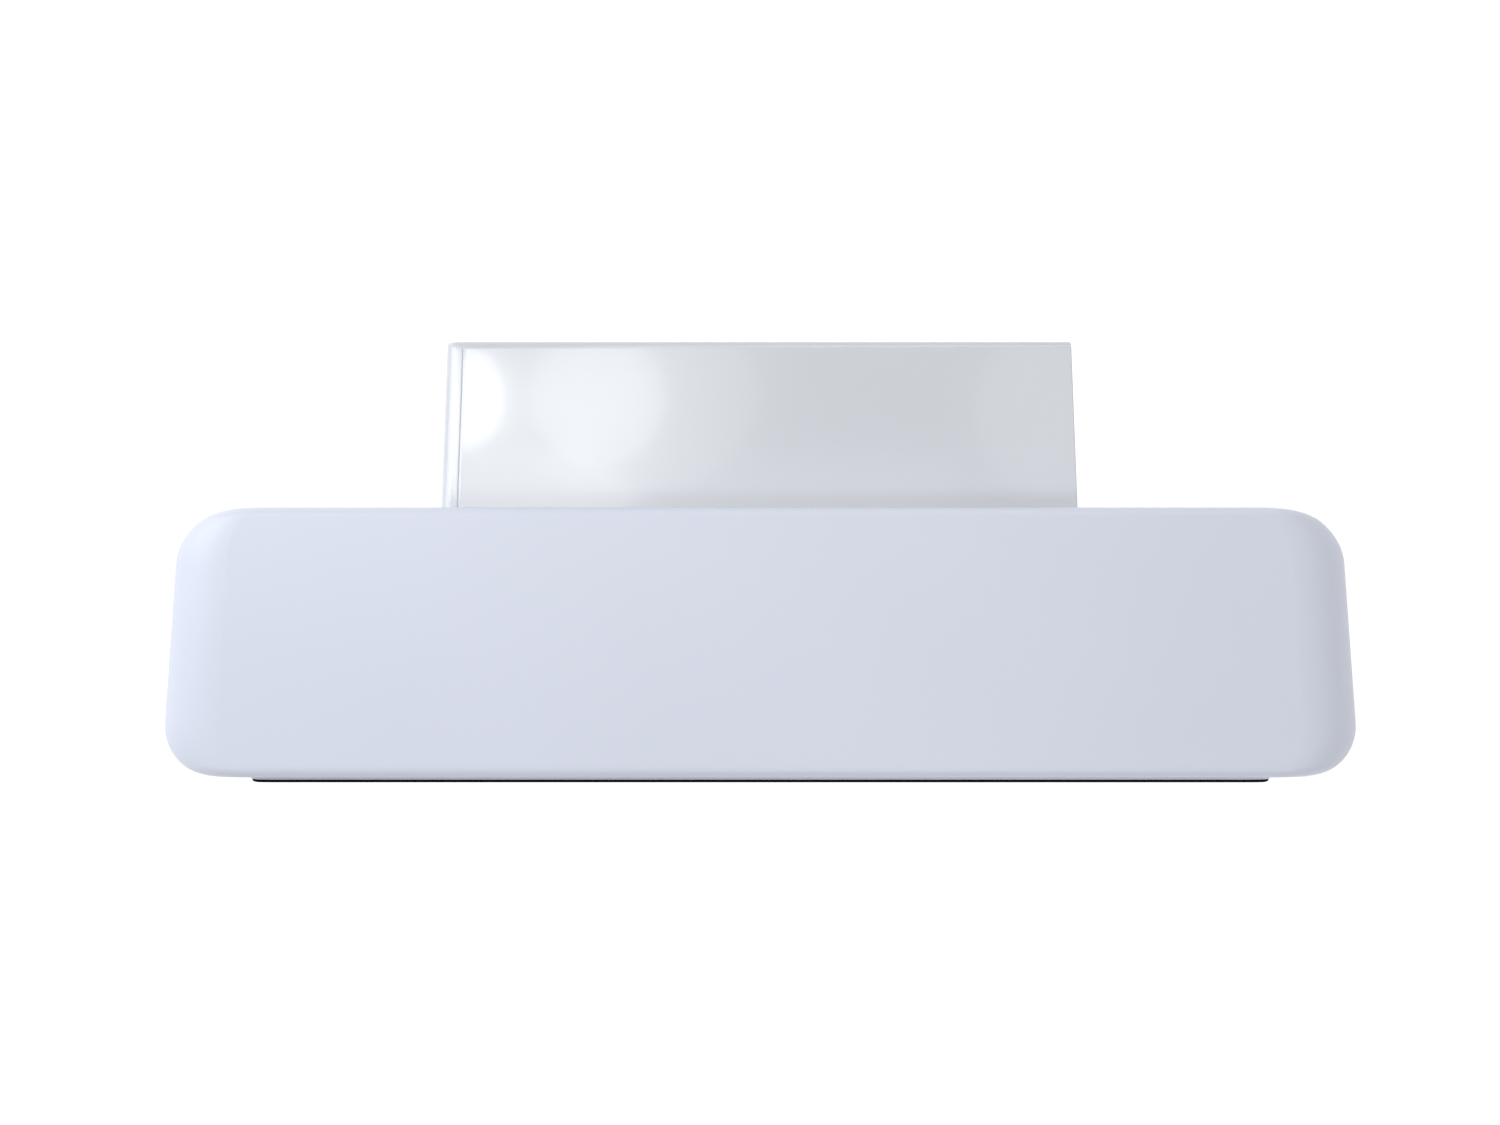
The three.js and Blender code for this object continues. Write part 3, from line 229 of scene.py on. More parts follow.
LOOKS = {
    "case_white": surface(
        "case_white", (0.80, 0.823, 0.92), 0.4, ((60, 4), 0.37, 0.43), ((5, 2), 0.985, 1.01),
        [((1900, 2), 0.02, 0.35), ((260, 2), 0.04, 0.2)], IOR=1.44, Coat_Weight=0.05, Coat_Roughness=0.3,
    ),
    "housing_white": surface(
        "gloss_white", (0.745, 0.755, 0.782), 0.16, ((35, 3), 0.14, 0.2), ((4, 2), 0.985, 1.01),
        [((330, 2), 0.06, 0.25)], IOR=1.52, Coat_Weight=0.35, Coat_Roughness=0.06,
    ),
    "black_glass": surface(
        "black_glass", (0.004, 0.004, 0.005), 0.05, ((18, 4), 0.04, 0.075), ((2500, 1), 1, 1.6),
        [((7, 1), 0.03, 0.2)], IOR=1.52, Coat_Weight=0.5, Coat_Roughness=0.02,
    ),
    "light": surface(
        "frosted_light", (0.75, 0.86, 1.0), 0.4, ((400, 2), 0.35, 0.5), None,
        [((2200, 2), 0.01, 0.3)], Emission_Color=(0.55, 0.8, 1.0, 1.0), Emission_Strength=1.1,
    ),
    "circuit_board": surface(
        "circuit_board", (0.012, 0.10, 0.05), 0.3, ((60, 3), 0.25, 0.4), ((180, 1, (1, 1, 4)), 1, 1.9),
        [((500, 2), 0.05, 0.4)], IOR=1.5,
    ),
    "rubber": plastic("rubber", (0.005, 0.005, 0.005), 0.9, 0.1),
    "black_plastic": plastic("black_plastic", (0.016, 0.016, 0.018), 0.45),
    "grey_plastic": plastic("grey_plastic", (0.33, 0.35, 0.36), 0.45),
    "clear_plastic": surface(
        "clear_plastic", (0.9, 0.94, 0.95), 0.08, ((30, 3), 0.05, 0.12), None,
        [((120, 2), 0.02, 0.2)], IOR=1.49, Transmission_Weight=0.85,
    ),
    "aluminium": metal("aluminium", (0.78, 0.79, 0.80), 0.34, (1, 12, 12)),
    "steel": metal("steel", (0.62, 0.63, 0.64), 0.36),
    "galvanised": galvanised(),
    "copper": metal("copper", (0.80, 0.42, 0.26), 0.3, (8, 8, 1)),
    "brass": metal("brass", (0.80, 0.62, 0.30), 0.28),
    "ceramic_fuse": plastic("ceramic", (0.78, 0.76, 0.70), 0.3),
    "cell_can": surface(
        "cell_film", (0.06, 0.17, 0.42), 0.3, ((40, 4), 0.24, 0.42), ((8, 3), 0.85, 1.15),
        [((90, 3), 0.12, 0.35)], IOR=1.5, Coat_Weight=0.2, Coat_Roughness=0.15,
    ),
}

SLOT_OF = {row["node"]: row["material_slot"] for row in frame["record"]["subparts"]}

# ---- Mesh building ----


def link(item):
    bpy.context.scene.collection.objects.link(item)
    return item


def mesh_object(name, vertices, faces, weld=False):
    """An object made of a closed form, with its faces turned outwards."""
    mesh = bpy.data.meshes.new(name)
    mesh.from_pydata([tuple(v) for v in vertices], [], faces)
    shape = bmesh.new()
    shape.from_mesh(mesh)
    if weld:
        bmesh.ops.remove_doubles(shape, verts=shape.verts, dist=WELD)
    bmesh.ops.recalc_face_normals(shape, faces=shape.faces)
    shape.to_mesh(mesh)
    shape.free()
    return link(bpy.data.objects.new(name, mesh))


def finish_mesh(name, form, slot, replaced=None, body="unit"):
    """Makes a smooth-shaded object with sharp folds, and ties it to its body, its slot and the CAD node it replaces."""
    piece = mesh_object(name, *form, weld=True)
    piece.data.materials.append(LOOKS[slot])
    smooth(piece)
    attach(piece, body)
    if replaced:
        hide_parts(replaced)
    return piece


def smooth(piece):
    """Smooth shading with sharp folds, in which large flat faces stay flat."""
    mesh = piece.data
    mesh.polygons.foreach_set("use_smooth", [True] * len(mesh.polygons))
    mesh.set_sharp_from_angle(angle=SMOOTH_ANGLE)
    settle = piece.modifiers.new("settle_shading", "WEIGHTED_NORMAL")
    settle.keep_sharp = True
    settle.weight = 100


def lofted(loops, closed=False):
    """Quads between successive loops of equal length. closed joins the last loop to the first."""
    vertices = [point for loop in loops for point in loop]
    size, last = len(loops[0]), len(loops) - 1
    pairs = list(zip(range(last), range(1, last + 1)))
    if closed:
        pairs.append((last, 0))
    faces = []
    for a, b in pairs:
        for i in range(size):
            ahead = (i + 1) % size
            faces.append((a * size + i, a * size + ahead, b * size + ahead, b * size + i))
    if not closed:
        faces.append(tuple(reversed(range(size))))
        faces.append(tuple(last * size + i for i in range(size)))
    return vertices, faces


def quarter_turn(steps):
    return [math.pi / 2 * i / steps for i in range(steps + 1)]


def superellipse(share, power):
    """A quarter turn from (1, 0) to (0, 1)."""
    angle = share * math.pi / 2
    return math.cos(angle) ** (2 / power), max(0.0, math.sin(angle)) ** (2 / power)


def side_shares(length):
    """Places along a straight side: close to both ends, where shading must settle, and evenly between."""
    scale = min(1.0, 0.3 * length / END_STEPS[-1]) / length if length > 0 else 0.0
    ends = [step * scale for step in END_STEPS]
    start = ends[-1]
    inner = [start + (1 - 2 * start) * i / SIDE_STEPS for i in range(1, SIDE_STEPS)]
    return ends + inner + [1 - share for share in reversed(ends)]


def corner_arcs(low, high, radii, power=2.0):
    """The rounded corners of an (x, z) rectangle, anticlockwise from the lower right, with one radius for each."""
    corners = [(high[0], low[1]), (high[0], high[1]), (low[0], high[1]), (low[0], low[1])]
    shares = [i / CORNER_STEPS for i in range(CORNER_STEPS + 1)]
    arcs = []
    for turn, ((x, z), size) in enumerate(zip(corners, radii)):
        centre_x = x - math.copysign(size, x - middle(low[0], high[0]))
        centre = Vector((centre_x, z - math.copysign(size, z - middle(low[1], high[1]))))
        facing = Matrix.Rotation((turn - 1) * math.pi / 2, 2)
        arcs.append([centre + facing @ (Vector(superellipse(share, power)) * size) for share in shares])
    return arcs


def with_sides(arcs):
    """A closed outline: the four corners with straight sides between them."""
    points = []
    for i, arc in enumerate(arcs):
        points += arc
        start, end = arc[-1], arcs[(i + 1) % 4][0]
        points += [start.lerp(end, share) for share in side_shares((end - start).length)]
    return points


def rounded_outline(low, high, radius, power=2.0):
    return with_sides(corner_arcs(low, high, [radius] * 4, power))


def centred_outline(x, z, half_x, half_z, radius):
    return rounded_outline((x - half_x, z - half_z), (x + half_x, z + half_z), radius)


def at_depth(outline, y):
    return [Vector((point[0], y, point[1])) for point in outline]


def layers(rows):
    """Loops from (outline, y) pairs."""
    return [at_depth(outline, y) for outline, y in rows]


def grown(low, high, amount):
    return (low[0] - amount, low[1] - amount), (high[0] + amount, high[1] + amount)


def cut(piece, form):
    """Takes a closed form out of a piece, and leaves a plain mesh."""
    cutter = mesh_object("cutter", *form)
    piece.modifiers.clear()
    modifier = piece.modifiers.new("cut", "BOOLEAN")
    modifier.operation = "DIFFERENCE"
    modifier.solver = "EXACT"
    modifier.object = cutter
    made = bpy.data.meshes.new_from_object(piece.evaluated_get(bpy.context.evaluated_depsgraph_get()))
    piece.modifiers.clear()
    piece.data = made
    bpy.data.objects.remove(cutter)
    smooth(piece)


def turned(profile, centre, axis, steps=32):
    """Loops of a lathed form. profile is (along, radius) in mm, with HEX as a third value for a six-sided loop."""
    turn = Vector(ALONG_Z).rotation_difference(Vector(axis)).to_matrix()
    loops = []
    for along, radius, *hexagon in profile:
        loop = []
        for i in range(steps):
            angle = 2 * math.pi * i / steps
            within = (angle + math.pi / 6) % (math.pi / 3) - math.pi / 6
            reach = radius * MM * (math.cos(math.pi / 6) / math.cos(within) if hexagon else 1)
            point = Vector((reach * math.cos(angle), reach * math.sin(angle), along * MM))
            loop.append(Vector(centre) + turn @ point)
        loops.append(loop)
    return loops


def lathed(*shape):
    """A solid lathed form, described as for turned."""
    return lofted(turned(*shape))


def gather(forms):
    """Joins several (vertices, faces) forms into one list of each."""
    vertices, faces = [], []
    for form_vertices, form_faces in forms:
        start = len(vertices)
        vertices += form_vertices
        faces += [tuple(start + i for i in face) for face in form_faces]
    return vertices, faces


# ---- Case ----

CASE_XZ = ((CASE_LOW.x, CASE_LOW.z), (CASE_HIGH.x, CASE_HIGH.z))
LIGHT_Z = middle(LIGHT_LOW.z, LIGHT_HIGH.z)
LIGHT_HALF = (60 * MM, 1.6 * MM)


def corner_inset(depth, across, deep):
    """How far an oval corner stands in from the side, at a depth from the end face."""
    if depth >= deep:
        return 0.0
    return across * (1 - math.sqrt(1 - (1 - depth / deep) ** 2))


def case_section(depth, shrink):
    """The case's outline at a depth from its front or rear face, shrunk for the inner surface."""
    inset_x = corner_inset(depth, PLAN_ACROSS - shrink, PLAN_DEEP - shrink)
    inset_z = corner_inset(depth, EDGE_RADIUS - shrink, EDGE_RADIUS - shrink)
    low = (CASE_XZ[0][0] + shrink + inset_x, CASE_XZ[0][1] + shrink + inset_z)
    high = (CASE_XZ[1][0] - shrink - inset_x, CASE_XZ[1][1] - shrink - inset_z)
    radius = FACE_RADIUS - shrink - FRONT_CORNER_SHARE * inset_x
    return rounded_outline(low, high, radius, CORNER_POWER)


def case_depths(shrink):
    """Depths from an end face where the outline is made: fine on the small edge, then along the plan corner."""
    edge, plan = EDGE_RADIUS - shrink, PLAN_DEEP - shrink
    fine = [edge * (1 - math.cos(angle)) for angle in quarter_turn(6)]
    coarse = [plan * (1 - math.cos(angle)) for angle in quarter_turn(14)]
    return fine + [d for d in coarse if d > edge + 0.6 * MM] + [plan + 3 * MM]


def light_outline(grow):
    half_x, half_z = LIGHT_HALF[0] + grow, LIGHT_HALF[1] + grow
    return centred_outline(0, LIGHT_Z, half_x, half_z, half_z * 0.98)


def glass_outline(grow):
    low, high = grown((GLASS_LOW.x, GLASS_LOW.z), (GLASS_HIGH.x, GLASS_HIGH.z), grow)
    return rounded_outline(low, high, GLASS_RADIUS + grow)


def panel_outline(shrink):
    low, high = node_box("rear_panel")
    low, high = grown((low.x, low.z), (high.x, high.z), -shrink)
    return rounded_outline(low, high, max(PANEL_RADIUS - shrink, 4 * MM))


def case_cover():
    front, rear = CASE_LOW.y, CASE_HIGH.y
    floor, step, rim = front + RECESS_DEPTH, rear - REBATE_DEPTH, rear - LEDGE
    edge, gap, rebate = 0.35 * MM, 0.3 * MM, -0.5 * MM
    hole, recess = light_outline(gap), glass_outline(gap)
    mouth, ledge = panel_outline(rebate), panel_outline(LEDGE + rebate)
    rows = [(hole, front + CASE_WALL), (hole, floor), (recess, floor), (recess, front + edge)]
    rows += [(glass_outline(gap + edge), front)]
    rows += [(case_section(d, 0), front + d) for d in case_depths(0)]
    rows += [(case_section(d, 0), rear - d) for d in reversed(case_depths(0))]
    rows += [(panel_outline(rebate - edge), rear), (mouth, rear - edge), (mouth, step), (ledge, step), (ledge, rim)]
    inner_front, inner_rear = front + CASE_WALL, rear - CASE_WALL
    start, depths = inner_rear - rim, case_depths(CASE_WALL)
    rows += [(case_section(start, CASE_WALL), rim)]
    rows += [(case_section(d, CASE_WALL), inner_rear - d) for d in depths if d > start + 0.5 * MM]
    rows += [(case_section(d, CASE_WALL), inner_front + d) for d in reversed(depths)]
    finish_mesh("case_cover", lofted(layers(rows), closed=True), "case_white", "body_shell")


def rolled_back(point):
    """Bends the front panel back towards the case near its left and right ends."""
    from_end = min(1.0, (GLASS_HIGH.x - abs(point.x)) / END_ROLL)
    share = max(LEAST_PROUD, math.sqrt(max(0.0, 1 - (1 - from_end) ** 2)))
    proud = CASE_LOW.y - point.y
    return Vector((point.x, CASE_LOW.y - proud * share, point.z)) if proud > 0 else point


def ring_plate(name, outer, hole, y_front, y_back, bevel, slot, replaced=None, rolled=()):
    """A plate with a hole, rounded over at the front of its outer edge. rolled lists the insets of extra loops."""
    rows = [(hole(0), y_back), (hole(0), y_front + bevel / 2), (hole(bevel / 2), y_front)]
    rows += [(outer(-inset), y_front) for inset in rolled]
    for angle in quarter_turn(4):
        rows.append((outer(-bevel * (1 - math.sin(angle))), y_front + bevel * (1 - math.cos(angle))))
    rows += [(outer(0), y_back - bevel / 3), (outer(-bevel / 3), y_back)]
    loops = [[rolled_back(point) for point in loop] for loop in layers(rows)]
    finish_mesh(name, lofted(loops, closed=True), slot, replaced)


def offset(outline, amount):
    """An outline function whose growth starts from an amount."""
    return lambda grow: outline(amount + grow)


def front_panel():
    """The black glass, a dull black seal around its edge, and the pale trim that holds both."""
    lap, gap = 0.2 * MM, 0.02 * MM
    seal_edge = TRIM_WIDTH - lap
    glass_edge = seal_edge + SEAL_WIDTH
    front, back = GLASS_LOW.y, GLASS_HIGH.y
    glass, hole = offset(glass_outline, -glass_edge - gap), offset(light_outline, 0.15 * MM)
    insets = [inset * MM for inset in (9, 7, 5.5, 4.2, 3.1, 2.2, 1.4, 0.8)]
    ring_plate("front_glass_panel", glass, hole, front, back, 0.3 * MM, "black_glass", "front_glass", insets)
    seal, hole = offset(glass_outline, -seal_edge - gap), offset(glass_outline, -glass_edge)
    ring_plate("front_glass_seal", seal, hole, front + 0.05 * MM, back, 0.15 * MM, "rubber")
    trim, hole = offset(glass_outline, lap), offset(glass_outline, -seal_edge)
    front, back = CASE_LOW.y - TRIM_PROUD, CASE_LOW.y + RECESS_DEPTH - 0.1 * MM
    ring_plate("front_glass_trim", trim, hole, front, back, 0.35 * MM, "case_white")


def light_bar():
    front, back = LIGHT_LOW.y, LIGHT_HIGH.y
    nose = front + 6.2 * MM
    bar, flange = light_outline(0), rounded_outline((LIGHT_LOW.x, LIGHT_LOW.z), (LIGHT_HIGH.x, LIGHT_HIGH.z), 2 * MM)
    rows = [(light_outline(-0.35 * MM), front), (bar, front + 0.3 * MM), (bar, nose), (flange, nose), (flange, back)]
    finish_mesh("light_bar", lofted(layers(rows)), "light", "light_guide")


def rear_cover():
    """A plate with a pressed bead, a window for the leads and a hole for the vent."""
    low, high = node_box("rear_panel")
    window = centred_outline(0, node_centre("lead_grommet").z, *WINDOW_HALF, 1 * MM)
    bead = [(34, 0), (32, 0.8), (28, 0.8), (26, 0)]
    rounded_edge = [(0.6, 0), (0.15, 0.2), (0, 0.7)]
    rows = [(window, low.y), (window, high.y)]
    rows += [(panel_outline(inset * MM), high.y - depth * MM) for inset, depth in bead + rounded_edge]
    rows += [(panel_outline(0), low.y)]
    panel = finish_mesh("rear_cover_panel", lofted(layers(rows), closed=True), "housing_white", "rear_panel")
    centre = node_centre("pressure_vent", y=high.y)
    cut(panel, lathed([(-5, 8), (5, 8)], centre, ALONG_Y))


# ---- Rear housing ----


def housing_outline(shrink, foot, side_shrink=None):
    side = shrink if side_shrink is None else side_shrink
    low = (HOUSING_LOW.x + side, HOUSING_LOW.z - foot)
    high = (HOUSING_HIGH.x - side, HOUSING_HIGH.z - shrink)
    left = max(LEFT_FOLD_RADIUS - max(shrink, side), 0.6 * MM)
    arcs = corner_arcs(low, high, [FOOT_RADIUS, FOOT_RADIUS, left, FOOT_RADIUS])
    arcs[1] = shoulder(*high)
    return with_sides(arcs)


def shoulder(x, z):
    """The upper right corner: a steep chamfer that ends in a tight bend under the top."""
    across, down = SHOULDER
    slope = math.hypot(across, down)
    tilt = math.atan2(across, down)
    bend = Vector((x - across - SHOULDER_EDGE * (slope - across) / down, z - SHOULDER_EDGE))
    turns = [tilt + (math.pi / 2 - tilt) * i / (CORNER_STEPS - 1) for i in range(CORNER_STEPS)]
    return [Vector((x, z - down))] + [bend + Vector((math.cos(a), math.sin(a))) * SHOULDER_EDGE for a in turns]


def seamed(outline):
    """Presses a fine bend line into the top just inside the wide fold."""
    line, level = HOUSING_LOW.x + LEFT_FOLD_RADIUS + END_STEPS[1], HOUSING_HIGH.z
    points = []
    for x, z in outline:
        on_line = abs(z - level) < LEVEL_SLACK and abs(x - line) < SEAM_HALF
        points.append(Vector((x, z - SEAM_DEPTH if on_line else z)))
    return points


def housing_wrap():
    front, rear = HOUSING_LOW.y, HOUSING_HIGH.y
    below = 40 * MM  # the outline runs on below the housing, and is cut off level afterwards
    inner_below = below - 2 * MM
    mouth = housing_outline(FLANGE, below - 10 * MM)
    rows = [(mouth, front + SHEET), (mouth, front)]
    for angle in quarter_turn(3):
        rows.append((housing_outline(SHEET * (1 - math.sin(angle)), below), front + SHEET * (1 - math.cos(angle))))
    main = seamed(housing_outline(0, below))
    rows += [(main, front + SHEET + 0.6 * MM), (main, rear - REAR_FOLD_RADIUS - 1.2 * MM)]
    for angle in quarter_turn(7):
        lean = 1 - math.cos(angle)
        outline = housing_outline(REAR_FOLD_RADIUS * lean, below, REAR_EDGE_RADIUS * lean**3)
        rows.append((outline, rear - REAR_FOLD_RADIUS * (1 - math.sin(angle))))
    rows += [(mouth, rear), (mouth, rear - SHEET)]
    inner_fold = REAR_FOLD_RADIUS - SHEET
    for angle in reversed(quarter_turn(4)):
        outline = housing_outline(SHEET + inner_fold * (1 - math.cos(angle)), inner_below)
        rows.append((outline, rear - SHEET - inner_fold * (1 - math.sin(angle))))
    rows.append((housing_outline(SHEET, inner_below), front + SHEET))
    wrap = finish_mesh("housing_wrap", lofted(layers(rows), closed=True), "housing_white", "rear_housing")
    cut(wrap, gather([foot_cutter(), *slot_cutters(), window_cutter(), button_cutter()]))


def prism_x(outline, x_from, x_to):
    """A form of (y, z) points drawn out along x."""
    return lofted([[Vector((x, p[0], p[1])) for p in outline] for x in (x_from, x_to)])


def foot_cutter():
    """Everything below the housing's lower edge."""
    spare = 10 * MM
    front, rear, side = HOUSING_LOW.y - spare, HOUSING_HIGH.y + spare, HOUSING_HIGH.x + spare
    level, bottom = HOUSING_LOW.z, HOUSING_LOW.z - 60 * MM
    return prism_x([(front, bottom), (rear, bottom), (rear, level), (front, level)], -side, side)


def stadium(centre, length, height, steps=8):
    radius = height / 2
    points = []
    for side in (1, -1):
        for i in range(steps + 1):
            angle = math.pi * i / steps - math.pi / 2
            x = side * (length / 2 - radius + radius * math.cos(angle))
            points.append((centre[0] + x, centre[1] + side * radius * math.sin(angle)))
    return points


def slot_cutters():
    """Vent slots through both side walls, one block of slots in line with each fan."""
    reach = HOUSING_HIGH.x + 5 * MM
    forms = []
    for fan in ("fan_frame_lower", "fan_frame_upper"):
        centre = node_centre(fan)
        for i in range(SLOT_COUNT):
            z = centre.z + (i - (SLOT_COUNT - 1) / 2) * SLOT_PITCH
            forms.append(prism_x(stadium((centre.y, z), *SLOT_SIZE), -reach, reach))
    return forms


def window_cutter():
    y, z = node_centre("breaker_lever").y, node_centre("breaker_body").z
    outline = centred_outline(y, z, *BREAKER_WINDOW_HALF, 3 * MM)
    return prism_x(outline, HOUSING_HIGH.x - 6 * MM, HOUSING_HIGH.x + 6 * MM)


def button_cutter():
    centre = node_centre("button_bezel", x=HOUSING_HIGH.x)
    return lathed([(-6, 10.2), (6, 10.2)], centre, ALONG_X)


# ---- Small turned and hexagonal pieces ----


def screw(centre, axis):
    """A domed screw head with a hexagon socket."""
    radius, height, socket = SCREW_RADIUS, 0.62 * SCREW_RADIUS, 0.5 * SCREW_RADIUS
    mouth = socket * 1.12
    profile = [(height * 0.35, 0.05), (height * 0.35, socket, HEX), (height * 0.97, socket, HEX), (height, mouth)]
    for share in (0.3, 0.55, 0.8, 1.0):
        dome = height * math.cos(share * math.pi / 2) ** 0.8 * 0.99
        profile.append((dome, mouth + (radius - mouth) * share**0.8))
    profile.append((-0.05, radius))
    return lathed(profile, centre, axis, 24)


def screws(name, places, axis):
    finish_mesh(name, gather([screw(place, axis) for place in places]), "steel")


def panel_screws():
    low, high = node_box("rear_panel")
    inset, end = 10 * MM, 30 * MM
    xs = [low.x + inset, high.x - inset]
    zs = [low.z + inset, high.z - inset]
    pitch = (zs[1] - zs[0] - 2 * end) / 4
    rows = [(x, high.y, zs[0] + end + pitch * i) for x in xs for i in range(5)]
    rows += [(x * MM, high.y, z) for z in zs for x in (-240, -120, 0, 120, 240)]
    screws("rear_panel_screws", rows, ALONG_Y)


def housing_screws():
    y, end = HOUSING_LOW.y + 9 * MM, 25 * MM
    pitch = (HOUSING_HIGH.z - HOUSING_LOW.z - 2 * end) / 3
    for side, name in ((-1, "left"), (1, "right")):
        places = [(side * HOUSING_HIGH.x, y, HOUSING_LOW.z + end + pitch * i) for i in range(4)]
        screws("housing_screws_" + name, places, (side, 0, 0))
    low, high = node_box("housing_back_plate")
    inset = 12 * MM
    heights = (low.z + inset, -150 * MM, 20 * MM, high.z - inset)
    places = [(x, high.y, z) for x in (low.x + inset, high.x - inset) for z in heights]
    screws("back_plate_screws", places, ALONG_Y)
    plate_back = node_box("hanger_plate")[0].y + 3 * MM
    places = [(x * MM, plate_back, z * MM) for x in (-100, 0, 100) for z in (-60, 60)]
    screws("hanger_plate_screws", places, ALONG_Y)


def gland(node):
    """A hexagon body, a ribbed dome nut below it, a blanking plug, and a nut inside the housing."""
    centre = node_centre(node, z=HOUSING_LOW.z)
    profile = [(11.3, 0.1), (11.3, 9.0), (11.0, 9.6), (7.5, 9.6), (7.3, 12.6, HEX), (2.6, 12.8, HEX), (2.3, 9.6)]
    profile += [(-0.3, 9.6), (-0.3, 13.2, HEX), (-0.6, 13.8, HEX), (-7.0, 13.8, HEX), (-7.3, 13.2, HEX), (-7.4, 11.8)]
    ribbed = len(profile)
    profile += [(-8.0, 12.2), (-15.0, 11.8), (-18.5, 10.4), (-20.6, 8.4), (-20.8, 6.2), (-20.2, 6.0), (-22.4, 5.6)]
    profile += [(-22.8, 4.8), (-22.8, 0.1)]
    loops = turned(profile, centre, ALONG_Z, 48)
    for loop in loops[ribbed : ribbed + 3]:
        for i, point in enumerate(loop):
            if i % 4 >= 2:
                axis_point = Vector((centre.x, centre.y, point.z))
                loop[i] = axis_point + (point - axis_point) * GROOVE_SHARE
    finish_mesh(node + "_fitting", lofted(loops), "black_plastic", node)


def vent_cap():
    centre = node_centre("pressure_vent", y=node_box("rear_panel")[1].y)
    profile = [(-5.2, 0.1), (-5.2, 7.6), (0.3, 7.6), (0.3, 13.6), (0.6, 14.0), (3.0, 14.0), (3.2, 13.2), (3.9, 13.2)]
    profile += [(4.1, 14.0), (5.6, 13.8), (6.6, 12.6), (6.9, 10.5), (6.4, 6.0), (6.4, 0.1)]
    finish_mesh("pressure_vent_cap", lathed(profile, centre, ALONG_Y, 40), "black_plastic", "pressure_vent")


def earth_point():
    centre = node_centre("earth_stud", z=HOUSING_LOW.z)
    profile = [(14.0, 0.1), (14.0, 3.5), (13.6, 4.0), (7.4, 4.0), (7.2, 7.0, HEX), (2.6, 7.2, HEX), (2.3, 4.0)]
    profile += [(-0.3, 4.0), (-0.4, 7.4, HEX), (-6.8, 7.4, HEX), (-7.2, 6.8, HEX), (-7.3, 4.0)]
    profile += [(-7.6 - 0.8 * i, 4.0 if i % 2 else 3.6) for i in range(10)] + [(-15.9, 3.2), (-16.3, 0.1)]
    finish_mesh("earth_point", lathed(profile, centre, ALONG_Z, 36), "brass", "earth_stud")


def lock_screw(node):
    low, high = node_box(node)
    centre = node_centre(node, z=low.z + 4 * MM)
    length, pitch = (high.z - centre.z) / MM, 0.6
    profile = [(-2.0, 0.1), (-2.0, 2.6, HEX), (-3.7, 2.6, HEX), (-4.0, 3.0), (-4.0, 4.9), (-3.6, 5.5)]
    profile += [(0.0, 5.5), (0.0, 2.9)]
    threads = int((length - 1) / pitch)
    profile += [(0.5 + pitch * i, 2.9 if i % 2 else 2.5) for i in range(threads)] + [(length, 2.2), (length, 0.1)]
    finish_mesh(node + "_socket_head", lathed(profile, centre, ALONG_Z, 24), "steel", node, "bracket")


def button_and_bezel():
    centre = node_centre("button_bezel", x=HOUSING_HIGH.x)
    ring = [(-8.0, 8.6), (2.0, 8.6), (2.45, 9.2), (2.5, 10.4), (2.2, 12.0), (1.4, 12.8), (0.3, 13.0), (0.3, 9.8)]
    loops = turned([*ring, (-8.0, 9.8)], centre, ALONG_X, 48)
    finish_mesh("button_ring", lofted(loops, closed=True), "aluminium", "button_bezel")
    cap = [(2.5, 0.1), (2.55, 2.5), (2.7, 4.6), (2.95, 6.4), (3.2, 7.3), (3.2, 7.8), (2.9, 8.2), (-8.3, 8.2)]
    cap += [(-8.3, 9.6), (-10.8, 9.6), (-10.8, 0.1)]
    form = lathed(cap, centre, ALONG_X, 48)
    finish_mesh("power_button_cap", form, "black_plastic", "power_button", "power_button")


# ---- Fans ----

BLADES = 7
BLADE_SPAN = (11.5 * MM, 26.3 * MM)
BLADE_PITCH = (math.radians(48), math.radians(36))
BLADE_SWEEP = 4 * MM


def fan_blade(centre, turn):
    """A thin swept blade from the hub outwards, as loops of a flat oval section."""
    sections, around = 7, 12
    loops = []
    for i in range(sections):
        share = i / (sections - 1)
        radius, pitch = (low + (high - low) * share for low, high in (BLADE_SPAN, BLADE_PITCH))
        chord = (13 + 3.5 * share) * MM
        loop = []
        for j in range(around):
            angle = 2 * math.pi * j / around
            along = math.cos(angle) * chord / 2
            across = math.sin(angle) * 0.75 * MM - 0.09 * chord * (1 - (2 * along / chord) ** 2)
            axial = along * math.cos(pitch) - across * math.sin(pitch)
            tangential = along * math.sin(pitch) + across * math.cos(pitch) + BLADE_SWEEP * share
            heading = turn + tangential / radius
            loop.append(centre + Vector((axial, -math.sin(heading) * radius, math.cos(heading) * radius)))
        loops.append(loop)
    return lofted(loops)


def fan_rotor(node, body):
    centre = node_centre(node.replace("rotor", "frame"), x=node_centre(node).x)
    forms = [fan_blade(centre, 2 * math.pi * i / BLADES) for i in range(BLADES)]
    hub = [(-8.6, 0.1), (-8.6, 11.8), (-8.2, 12.0), (7.4, 12.0), (8.6, 11.3), (9.0, 10.0), (8.6, 5.0), (8.6, 0.1)]
    forms.append(lathed(hub, centre, ALONG_X, 40))
    finish_mesh(node + "_impeller", gather(forms), "black_plastic", node, body)


# ---- Battery pack ----

COLUMNS = 8  # of cells, in two rows
CELL_NODES = [f"cell_{i + 1:02d}" for i in range(2 * COLUMNS)]
CELL_RADIUS = 3.5 * MM
TERMINAL_OFFSET = 60 * MM  # from the middle of a cell
TERMINAL_HEIGHT = 4 * MM
LID_DEPTH = 0.8 * MM
BAR_HALF = 4.5 * MM
BAR_DEPTH = 1.5 * MM


